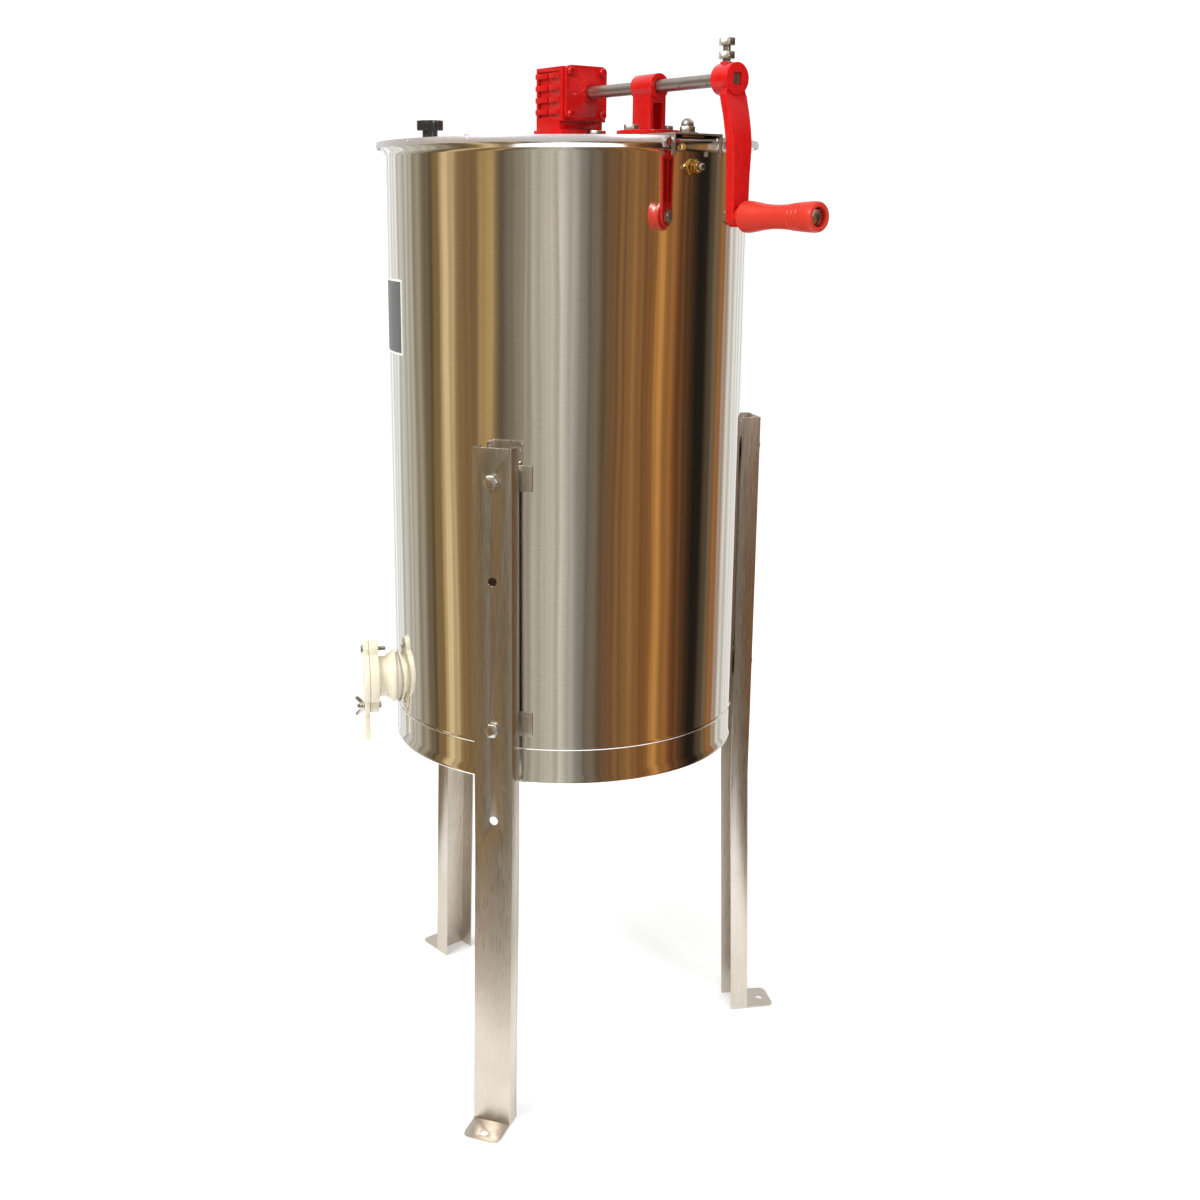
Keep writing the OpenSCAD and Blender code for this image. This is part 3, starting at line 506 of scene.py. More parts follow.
class Piece:
    """Turns shapes into finished pieces that ride on the frame."""

    CORNER = math.radians(28)
    MOST_DRIFT = 0.12

    @staticmethod
    def make(name: str, bm: bmesh.types.BMesh, finish: str, body: str = "root", replaces: Sequence[str] = (),
             smooth: float = 32.0, slot: Optional[str] = None) -> bpy.types.Object:
        """Makes an object from a shape and fits it to the frame.

        Args:
            name: The piece's name.
            bm: Its shape, in place.
            finish: The finish's name.
            body: The body that it rides on.
            replaces: The frame's nodes that it stands for.
            smooth: Edges flatter than this many degrees are shaded smooth.
            slot: Not used.

        Returns:
            The object.
        """
        mesh = bpy.data.meshes.new(name)
        bm.to_mesh(mesh)
        bm.free()
        mesh.polygons.foreach_set("use_smooth", [True] * len(mesh.polygons))
        mesh.set_sharp_from_angle(angle=math.radians(smooth))
        piece = bpy.data.objects.new(name, mesh)
        bpy.context.scene.collection.objects.link(piece)
        mesh.materials.append(RACK.get(finish))
        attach(piece, body)
        if replaces:
            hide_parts(*replaces)
        LOG.info("%s: %d faces on %s", name, len(mesh.polygons), body)
        return piece

    @staticmethod
    def copy_of(node: str) -> bmesh.types.BMesh:
        """Copies a frame node's mesh, joins its triangles and clears the flat ones' edges.

        Args:
            node: The node's name.

        Returns:
            The joined copy.
        """
        bm = bmesh.new()
        bm.from_mesh(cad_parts[node].data)
        bmesh.ops.remove_doubles(bm, verts=bm.verts, dist=0.000004)
        bmesh.ops.dissolve_limit(bm, angle_limit=math.radians(0.6), verts=bm.verts, edges=bm.edges)
        return bm

    @staticmethod
    def softened(node: str, finish: str, body: str = "root", width: float = 0.0004, segments: int = 2,
                 smooth: float = 40.0) -> bpy.types.Object:
        """Replaces a node with a copy whose sharp edges are rounded.

        Args:
            node: The node's name.
            finish: The finish's name.
            body: The body that it rides on.
            width: Width of the rounding.
            segments: Faces across the rounding.
            smooth: Edges flatter than this many degrees are shaded smooth.

        Returns:
            The object.
        """
        bm = Piece.copy_of(node)
        volume = bm.calc_volume()
        sharp = [e for e in bm.edges if len(e.link_faces) == 2 and e.calc_face_angle() > Piece.CORNER]
        bmesh.ops.bevel(bm, geom=sharp, offset=width, offset_type="OFFSET", segments=segments, profile=0.5,
                        affect="EDGES", material=-1, clamp_overlap=True, loop_slide=False)
        drift = abs(bm.calc_volume() / volume - 1)
        open_edges = sum(1 for e in bm.edges if len(e.link_faces) != 2)
        if drift > Piece.MOST_DRIFT or open_edges:
            LOG.info("%s: rounding left out, drift %.3f, open edges %d", node, drift, open_edges)
            bm.free()
            bm = Piece.copy_of(node)
        return Piece.make(node + "_form", bm, finish, body, [node], smooth=smooth)


def carve(piece: bpy.types.Object, cutter: bmesh.types.BMesh) -> None:
    """Cuts a shape out of a piece and keeps the result in its mesh.

    Args:
        piece: The piece to cut.
        cutter: The shape to take away.
    """
    mesh = bpy.data.meshes.new("cutter")
    cutter.to_mesh(mesh)
    cutter.free()
    tool = bpy.data.objects.new("cutter", mesh)
    bpy.context.scene.collection.objects.link(tool)
    modifier = piece.modifiers.new("cut", "BOOLEAN")
    modifier.operation = "DIFFERENCE"
    modifier.solver = "EXACT"
    modifier.object = tool
    bpy.context.view_layer.update()
    shaped = piece.evaluated_get(bpy.context.evaluated_depsgraph_get())
    result = bpy.data.meshes.new_from_object(shaped)
    piece.modifiers.clear()
    old = piece.data
    piece.data = result
    result.name = old.name
    bpy.data.meshes.remove(old)
    bpy.data.objects.remove(tool)
    bpy.data.meshes.remove(mesh)


# ---------------------------------------------------------------- sub-assemblies


@dataclass
class Drum:
    """The round wall with its rolled rim and swage, the floor, and the label."""

    radius: float = 0.185
    sheet: float = 0.001
    base_z: float = 0.366
    swage_z: float = 0.403
    rim_z: float = 0.989
    bead: float = 0.0032
    steps: int = 256
    gate_heading: float = -118.0
    gate_z: float = 0.430
    gate_hole: float = 0.0223
    hem: float = 0.0042
    swage: float = 0.0004
    swage_half: float = 0.0016
    neck: float = 0.012
    seam_heading: float = 118.0

    def build(self) -> None:
        """Builds the wall, its weld seam and hem, and dresses the floor and the label."""
        wall = Piece.make("drum_wall", self._wall(), "polished_steel", replaces=["drum_shell"], smooth=40.0)
        hole = bmesh.new()
        bmesh.ops.create_cone(hole, cap_ends=True, segments=48, radius1=self.gate_hole,
                              radius2=self.gate_hole, depth=0.02)
        carve(wall, placed(hole, spin_z(self.gate_heading) @ shift(self.radius, 0, self.gate_z) @ ALONG_X))
        Piece.make("drum_seam_weld", self._seam(), "weld_steel", slot="polished_steel")
        dress("drum_floor", "drum_floor_steel")
        dress("label_plate", "label")
        Piece.softened("pivot_cup", "fastener_steel", width=0.0005)

    def _wall(self) -> bmesh.types.BMesh:
        """Turns the wall, with a hem at its foot, a swage and the rolled rim."""
        out, inner, foot = self.radius, self.radius - self.sheet, self.base_z
        profile = [(inner, foot + 0.0006), (inner + 0.0004, foot), (out - 0.0001, foot),
                   (out + 0.0003, foot + 0.0008), (out + 0.0003, foot + 0.0034), (out, foot + self.hem)]
        below = self.swage_z - foot - self.hem - 0.0022
        profile += [(out, foot + self.hem + below * i / 4) for i in range(1, 5)]
        for i in range(7):
            rise = self.swage_half * (i / 3 - 1)
            swell = math.cos(rise / self.swage_half * math.pi / 2)
            profile.append((out + self.swage * swell, self.swage_z + rise))
        top = self.rim_z - self.neck
        start = self.swage_z + self.swage_half
        levels = 24
        profile.append((out, self.swage_z + 0.0022))
        profile += [(out, start + (top - start) * i / levels) for i in range(1, levels)]
        profile += [(out, top - 0.0008), (out, top), (out + 0.0018, top + 0.0026),
                    (out + 0.0040, top + 0.0052)]
        bead_x, bead_z = out + 0.0026, self.rim_z - self.bead
        for i in range(15):
            turn = math.radians(-40 + 16 * i)
            profile.append((bead_x + self.bead * math.cos(turn), bead_z + self.bead * math.sin(turn)))
        profile += [(inner, bead_z - 0.002), (inner, top - 0.004)]
        inside = top - 0.004
        profile += [(inner, inside - (inside - foot - 0.01) * i / 5) for i in range(1, 5)]
        return lathe(profile, self.steps)

    def _seam(self) -> bmesh.types.BMesh:
        """Makes the thin upright weld where the sheet's two ends meet, at the drum's back."""
        bead = bmesh.new()
        height = self.rim_z - self.base_z - 0.024
        bmesh.ops.create_cone(bead, cap_ends=True, segments=10, radius1=0.0009, radius2=0.0009, depth=height)
        bmesh.ops.scale(bead, verts=bead.verts, vec=(0.35, 1.4, 1.0))
        middle = self.base_z + 0.006 + height / 2
        return placed(bead, spin_z(self.seam_heading) @ shift(self.radius, 0, middle))


@dataclass
class Legs:
    """Three folded legs with their brackets, bolts, nuts and spot welds."""

    headings: Sequence[float] = (-58.0, 62.0, 182.0)
    bolt_heights: Sequence[float] = (0.428, 0.6747)
    face: float = 0.211
    sheet: float = 0.0015
    drum: float = 0.185
    ear_angles: Sequence[float] = (-7.3, 7.3)
    spot_rises: Sequence[float] = (-0.0065, 0.0065)
    bolt_reach: float = 0.0138

    def build(self) -> None:
        """Builds the legs and everything that holds them to the drum."""
        for name in ("leg_right", "leg_rear", "leg_left"):
            Piece.softened(name, "leg_steel", width=0.0005, segments=3)
        for name in ("upper_brackets", "lower_brackets"):
            Piece.softened(name, "leg_steel", width=0.00025)
        bolts, nuts, welds = [], [], []
        for heading in self.headings:
            for height in self.bolt_heights:
                at = spin_z(heading) @ shift(self.face, 0, height) @ ALONG_X
                bolts.append(placed(self._bolt(), at))
                behind = spin_z(heading) @ shift(self.face - 2 * self.sheet, 0, height) @ ALONG_X.inverted()
                nuts.append(placed(hex_block(M8_ACROSS, M8_NUT), behind))
                welds += self._spots(heading, height)
        Piece.make("leg_bolt_set", merged(*bolts), "fastener_steel", replaces=["leg_bolts"])
        Piece.make("leg_nut_set", merged(*nuts), "fastener_steel", replaces=["leg_nuts"])
        Piece.make("bracket_spot_welds", merged(*welds), "weld_steel", slot="leg_steel")

    def _bolt(self) -> bmesh.types.BMesh:
        """Makes a hexagon bolt whose head stands on z 0, with its thread below."""
        thread = placed(threaded(M8_RADIUS, self.bolt_reach), shift(z=0.0001 - self.bolt_reach))
        return merged(hex_block(M8_ACROSS, M8_HEAD), thread)

    def _spots(self, heading: float, height: float) -> list[bmesh.types.BMesh]:
        """Makes the shallow spot welds on a bracket's two ears.

        Args:
            heading: The leg's heading in degrees.
            height: Height of the bracket's middle.

        Returns:
            The welds, each in place.
        """
        spots = []
        for ear in self.ear_angles:
            for rise in self.spot_rises:
                dot = turned([(0, -0.0001), (0.0022, -0.0001), (0.0018, 0.0003), (0.0010, 0.0002),
                              (0, 0.0001)], 20)
                at = spin_z(heading + ear) @ shift(self.drum + self.sheet, 0, height + rise) @ ALONG_X
                spots.append(placed(dot, at))
        return spots


@dataclass
class Bar:
    """The crossbar, its anchors and studs, and the fastenings at its ends."""

    stud_x: float = 0.178
    top_z: float = 0.993
    wall_z: float = 0.963
    drum: float = 0.185
    bolts: Sequence[tuple[float, float, float]] = ((0.030, 0.013, 0.0044), (-0.020, -0.013, 0.0044),
                                                   (0.1245, 0.022, 0.005), (0.1245, -0.022, 0.005))

    def build(self) -> None:
        """Builds the crossbar and its fastenings."""
        Piece.softened("crossbar", "bar_steel", width=0.0004)
        Piece.softened("crossbar_anchors", "bar_steel", width=0.0003)
        for name, finish in (("anchor_studs", "fastener_steel"), ("wall_spacers", "brass"),
                             ("lid_hinge_pins", "fastener_steel")):
            dress(name, finish)
        domes, washers, flanges, screws = [], [], [], []
        for side in (0, 180):
            domes.append(placed(self._dome(), spin_z(side) @ shift(self.stud_x, 0, self.top_z + 0.0012)))
            ring = turned([(0, 0.0), (0.0086, 0.0), (0.0086, 0.0009), (0.0082, 0.0012), (0, 0.0012)], 40)
            washers.append(placed(ring, spin_z(side) @ shift(self.stud_x, 0, self.top_z)))
            at = spin_z(side) @ shift(self.drum + 0.0001, 0, self.wall_z) @ ALONG_X
            flanges.append(placed(self._brass(), at))
            tip = placed(threaded(0.003, 0.0031, 0.001), shift(z=0.0122))
            head = placed(turned([(0, 0), (0.0055, 0), (0.0055, 0.0025), (0.0045, 0.004), (0, 0.004)], 32),
                          Matrix.Rotation(math.pi, 4, "X") @ shift(z=0.011))
            stem = turned([(0, -0.0125), (0.003, -0.0125), (0.003, 0.0125), (0, 0.0125)], 24)
            screws.append(placed(merged(tip, head, stem), at))
        Piece.make("dome_nut_pair", merged(*domes), "fastener_steel", replaces=["dome_nuts"])
        Piece.make("dome_nut_washers", merged(*washers), "gear_steel")
        Piece.make("brass_flange_nuts", merged(*flanges), "brass", replaces=["brass_wall_nuts"])
        Piece.make("wall_screw_pair", merged(*screws), "fastener_steel", replaces=["wall_screws"])
        heads = [placed(self._bolt(seat), shift(x, y, self.top_z + seat)) for x, y, seat in self.bolts]
        Piece.make("bar_bolt_set", merged(*heads), "fastener_steel", replaces=["crossbar_bolts"])
        dress("crossbar_nuts", "fastener_steel")

    def _dome(self) -> bmesh.types.BMesh:
        """Makes a domed nut standing on z 0."""
        cap = [(0.0, 0.0040), (0.0061, 0.0040), (0.0061, 0.0066)]
        for i in range(1, 10):
            turn = math.radians(9 * i)
            cap.append((0.0061 * math.cos(turn), 0.0069 + 0.0061 * math.sin(turn)))
        cap.append((0.0, 0.0130))
        return merged(hex_block(M8_ACROSS, 0.0055, 0.0007), turned(cap, 40))

    def _brass(self) -> bmesh.types.BMesh:
        """Makes the brass fitting's hexagon and stepped barrel."""
        barrel = turned([(0.0, 0.003), (0.0060, 0.003), (0.0060, 0.0056), (0.0056, 0.0060), (0.0048, 0.0062),
                         (0.0048, 0.0103), (0.0043, 0.0110), (0.0033, 0.0110), (0.0033, 0.0098),
                         (0.0, 0.0098)], 40)
        return merged(hex_block(0.0143, 0.0035, 0.0006), barrel)

    def _bolt(self, seat: float) -> bmesh.types.BMesh:
        """Makes a hexagon bolt with its head's seat on z 0.

        Args:
            seat: Thickness of the casting under the head.

        Returns:
            The bolt.
        """
        reach = seat + 0.0105
        thread = placed(threaded(M8_RADIUS, reach), shift(z=0.0002 - reach))
        return merged(hex_block(M8_ACROSS, M8_HEAD), thread)


@dataclass
class Drive:
    """The gearbox, the pedestal, the shafts and the gears."""

    shaft_z: float = 1.038
    face_x: float = 0.0315
    screw_pitch: float = 0.0205

    def build(self) -> None:
        """Builds the castings with the cover's screws, and dresses the bushes, shafts and gears."""
        Piece.softened("gearbox_housing", "red_casting", width=0.0008, segments=3)
        Piece.softened("gearbox_cover", "red_casting", width=0.0009, segments=3, smooth=17.0)
        Piece.softened("bearing_pedestal", "red_casting", width=0.0011, segments=3)
        heads = []
        for y in (-1, 1):
            for z in (-1, 1):
                at = shift(self.face_x, y * self.screw_pitch, self.shaft_z + z * self.screw_pitch) @ ALONG_X
                heads.append(placed(self._screw(), at @ spin_z(20 * y + 35 * z)))
        Piece.make("cover_screw_set", merged(*heads), "red_casting", replaces=["cover_screws"])
        for name, finish in (("input_bushes", "bronze"), ("pedestal_bush", "bronze"),
                             ("output_bush", "bronze"), ("input_shaft", "shaft_steel"),
                             ("output_shaft", "shaft_steel"),
                             ("drive_gear", "gear_steel"), ("pinion_gear", "gear_steel")):
            dress(name, finish)

    def _screw(self) -> bmesh.types.BMesh:
        """Makes a pan head with a cross recess, and its shank, along Z from z 0."""
        dome = turned([(0.0, -0.0116), (M5_RADIUS, -0.0116), (M5_RADIUS, 0.0), (0.0045, 0.0),
                       (0.0045, 0.0012), (0.0041, 0.0020), (0.0031, 0.0025), (0.0, 0.0026)], 32)
        probe = Piece.make("screw_blank", dome, "red_casting")
        for turn in (0, 90):
            slit = bmesh.new()
            bmesh.ops.create_cube(slit, size=1.0)
            bmesh.ops.scale(slit, verts=slit.verts, vec=(0.0052, 0.0009, 0.0024))
            carve(probe, placed(slit, spin_z(turn) @ shift(z=0.0026)))
        made = bmesh.new()
        made.from_mesh(probe.data)
        bpy.data.objects.remove(probe)
        return made


@dataclass
class Crank:
    """The crank arm with its set screw, the handle's bolt and the handle."""

    screw_x: float = 0.2264
    shaft_z: float = 1.038
    grip_z: float = 0.918
    grip_x: float = 0.2557
    grip_length: float = 0.0879
    bolt_start: float = -0.024
    bolt_depth: float = 0.0078

    def build(self) -> None:
        """Builds the crank and its handle."""
        Piece.softened("crank_arm", "red_casting", "crank", width=0.0013, segments=3)
        screw = placed(threaded(M8_RADIUS, 0.0245), shift(z=0.0048))
        head = placed(hex_block(M8_ACROSS, 0.0066), shift(z=0.029))
        at = shift(self.screw_x, 0, self.shaft_z)
        whole = placed(merged(screw, head), at)
        Piece.make("set_screw", whole, "fastener_steel", "crank", ["crank_set_screw"])
        nut = placed(hex_block(M8_ACROSS, M8_NUT), at @ shift(z=0.0175))
        Piece.make("jam_nut", nut, "fastener_steel", "crank", ["crank_jam_nut"])
        dress("grip_washer", "fastener_steel")
        dress("grip_nut", "fastener_steel")
        line = shift(self.grip_x, 0, self.grip_z) @ ALONG_X
        seat, start = self.grip_length - self.bolt_depth, self.bolt_start
        shank = turned([(0, start), (0.0037, start), (M8_RADIUS, start + 0.0005), (M8_RADIUS, seat + 0.0003),
                        (0, seat + 0.0003)], 32)
        bolt = placed(merged(shank, placed(hex_block(M8_ACROSS, 0.0052), shift(z=seat))), line)
        Piece.make("grip_axle_bolt", bolt, "fastener_steel", "crank", ["grip_bolt"])
        Piece.make("handle_form", placed(self._handle(), line), "grip_plastic", "grip", ["handle_grip"])

    def _handle(self) -> bmesh.types.BMesh:
        """Turns the handle: a swelling outline with grooves near its end, a bore and a recess."""
        key = [(0.0, 12.2), (0.6, 12.7), (2.0, 14.0), (4.5, 14.2), (7.0, 14.1), (10.5, 13.7), (15.0, 13.1),
               (19.5, 12.3), (24.0, 11.6), (29.0, 11.1), (34.0, 10.7), (42.0, 10.5), (52.0, 11.0),
               (57.5, 11.5)]
        profile = [(r * MM, z * MM) for z, r in key]
        groove_drops = {0.0: 0.85, 0.5: 0.7, 1.0: 0.25, 1.5: 0.0}
        for groove in (61.0, 66.0, 71.0):
            shoulder = 12.0 + (groove - 61.0) * 0.085
            for step in (-1.5, -1.0, -0.5, 0.0, 0.5, 1.0, 1.5):
                drop = groove_drops[abs(step)]
                profile.append(((shoulder + step * 0.06 - drop) * MM, (groove + step) * MM))
        end = self.grip_length
        profile += [(0.0130, 0.0745), (0.0133, 0.079), (0.0134, 0.0835), (0.0130, end - 0.0016),
                    (0.0123, end - 0.0004), (0.0115, end), (0.0094, end), (0.0088, end - 0.0006),
                    (0.0088, end - 0.0080), (0.00408, end - 0.0080), (0.00408, 0.0)]
        return lathe(profile, 72)


@dataclass
class Reel:
    """The reel's shaft, its spiders and the two wire baskets."""

    half_length: float = 0.124
    inner_y: float = 0.040
    outer_y: float = 0.092
    low: float = 0.462
    height: float = 0.486
    rod: float = 0.002
    wire: float = 0.0007
    rails: int = 5

    def build(self) -> None:
        """Builds the baskets and dresses the shaft's pieces."""
        for name, finish in (("reel_shaft", "reel_steel"), ("pivot_ball", "gear_steel"),
                             ("coupling_pins", "fastener_steel")):
            dress(name, finish)
        Piece.softened("shaft_coupling", "fastener_steel", "reel", width=0.0006)
        Piece.softened("reel_spiders", "reel_steel", "reel", width=0.0005)
        Piece.make("basket_frame_a", self._frame(1), "reel_steel", "reel", ["basket_a"])
        Piece.make("basket_frame_b", self._frame(-1), "reel_steel", "reel", ["basket_b"])
        Piece.make("basket_meshes", merged(self._mesh(1), self._mesh(-1)), "reel_steel", "reel",
                   ["basket_screens"])

    def _bar(self, start: Vector, end: Vector, radius: float, sides: int) -> bmesh.types.BMesh:
        """Makes a round rod between two points.

        Args:
            start: Middle of its first end.
            end: Middle of its other end.
            radius: Its radius.
            sides: Faces round it.

        Returns:
            The rod.
        """
        bm = bmesh.new()
        line = end - start
        bmesh.ops.create_cone(bm, cap_ends=True, segments=sides, radius1=radius, radius2=radius,
                              depth=line.length)
        turn = line.to_track_quat("Z", "Y").to_matrix().to_4x4()
        return placed(bm, Matrix.Translation((start + end) / 2) @ turn)

    def _frame(self, side: int) -> bmesh.types.BMesh:
        """Makes one basket's rods: posts, rails, end rungs and the rungs that a comb stands on.

        Args:
            side: 1 for the basket on +Y, -1 for the one on -Y.

        Returns:
            The basket.
        """
        x, r = self.half_length - self.rod, self.rod
        y0, y1 = side * (self.inner_y + r), side * (self.outer_y - 0.003 - r)
        bars = []
        levels = [self.low + r + i * (self.height - 2 * r) / (self.rails - 1) for i in range(self.rails)]
        top = self.low + self.height
        for x_post in (-x, x):
            for y in (y0, y1):
                bars.append((Vector((x_post, y, self.low)), Vector((x_post, y, top))))
            for z in levels:
                bars.append((Vector((x_post, y0, z)), Vector((x_post, y1, z))))
        for z in levels:
            bars.append((Vector((-x, y0, z)), Vector((x, y0, z))))
        for i in range(1, 5):
            x_rung = -self.half_length + i * 2 * self.half_length / 5
            bars.append((Vector((x_rung, y0, levels[0])), Vector((x_rung, y1, levels[0]))))
        return merged(*[self._bar(a, b, r, 12) for a, b in bars])

    def _mesh(self, side: int) -> bmesh.types.BMesh:
        """Makes one basket's outer wire mesh.

        Args:
            side: 1 for the basket on +Y, -1 for the one on -Y.

        Returns:
            The mesh of wires.
        """
        columns, rows = 30, 58
        x, top = self.half_length, self.low + self.height
        y = side * (self.outer_y - 0.0018)
        upright_y, level_y = y - side * self.wire, y + side * self.wire * 0.7
        wires = []
        for i in range(columns + 1):
            x_wire = -x + 0.0015 + i * (2 * x - 0.003) / columns
            wires.append((Vector((x_wire, upright_y, self.low)), Vector((x_wire, upright_y, top))))
        for i in range(rows + 1):
            z = self.low + 0.001 + i * (self.height - 0.002) / rows
            wires.append((Vector((-x, level_y, z)), Vector((x, level_y, z))))
        return merged(*[self._bar(a, b, self.wire, 6) for a, b in wires])


@dataclass
class Lids:
    """The two half lids with their knobs and rim dimples."""

    rim: float = 0.1944
    edge_z: float = 0.9871
    dimples: Sequence[float] = (-19.7, -43.0, -67.0, -90.0, -113.0, -137.0, -160.3)

    def build(self) -> None:
        """Builds both lids with their knobs and the dimples of their rims."""
        for letter, turn in (("a", 180), ("b", 0)):
            body = "lid_" + letter
            Piece.softened("lid_" + letter, "lid_steel", body, width=0.0003)
            Piece.softened("knob_" + letter, "black_plastic", body, width=0.0008, segments=3)
            dress("knob_screw_" + letter, "fastener_steel")
            dots = [placed(turned([(0, -0.0001), (0.0016, -0.0001), (0.0013, 0.0003), (0, 0.0005)], 16),
                           spin_z(angle + turn) @ shift(self.rim, 0, self.edge_z) @ ALONG_X)
                    for angle in self.dimples]
            Piece.make("lid_rim_dimples_" + letter, merged(*dots), "lid_steel", body)


@dataclass
class Gate:
    """The honey gate: body, seals, lock nut, shutter, screws and wing nut."""

    heading: float = -118.0
    height: float = 0.430
    pivot_y: float = 0.0316
    clamp_y: float = -0.0325
    plate_in: float = 0.2055
    pivot_in: float = 0.197

    def build(self) -> None:
        """Builds the gate's moulded and metal pieces."""
        Piece.softened("gate_body", "gate_plastic", width=0.0006, segments=3)
        Piece.softened("gate_shutter", "gate_plastic", "shutter", width=0.0007, segments=3)
        Piece.softened("gate_lock_nut", "gate_plastic", width=0.0006)
        dress("gate_seals", "seal_rubber")
        Piece.softened("wing_nut", "fastener_steel", "wing_nut", width=0.0004)
        pan = turned([(0, 0), (0.0048, 0), (0.0046, 0.0014), (0.0034, 0.0026), (0, 0.0026)], 32)
        pivot = merged(threaded(M5_RADIUS, 0.0244, 0.0008), placed(pan, shift(z=0.0242)))
        sunk = turned([(0, -0.0028), (0.0034, -0.0028), (0.0046, 0.0), (0, 0.0)], 32)
        clamp = merged(placed(threaded(M5_RADIUS, 0.0245, 0.0008), shift(z=-0.001)), sunk)
        outwards = Matrix.Rotation(math.pi / 2, 4, "Z") @ Matrix.Rotation(math.pi / 2, 4, "X")
        local = spin_z(self.heading) @ shift(z=self.height) @ outwards
        pair = merged(placed(pivot, local @ shift(0, self.pivot_y, self.pivot_in)),
                      placed(clamp, local @ shift(0, self.clamp_y, self.plate_in)))
        Piece.make("gate_screw_pair", pair, "fastener_steel", replaces=["gate_screws"])


def dress(node: str, finish: str) -> None:
    """Gives a frame node its finish, and leaves its mesh as it is.

    Args:
        node: The node's name.
        finish: The finish's name.
    """
    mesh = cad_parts[node].data
    mesh.materials.clear()
    mesh.materials.append(RACK.get(finish))
    LOG.info("%s: finish %s", node, finish)


# ---------------------------------------------------------------- studio


@dataclass(frozen=True)
class Panel:
    """A studio panel that polished steel mirrors, placed by headings from the camera in degrees.

    A crisp panel keeps its tone from edge to edge; any other fades from its middle into the next.
    """

    start: float
    end: float
    tone: Colour
    crisp: bool = False


@dataclass(frozen=True)
class Lamp:
    """A soft square studio light; polished faces show it if it is mirrored."""

    name: str
    place: tuple[float, float, float]
    size: float
    watts: float
    mirrored: bool = True


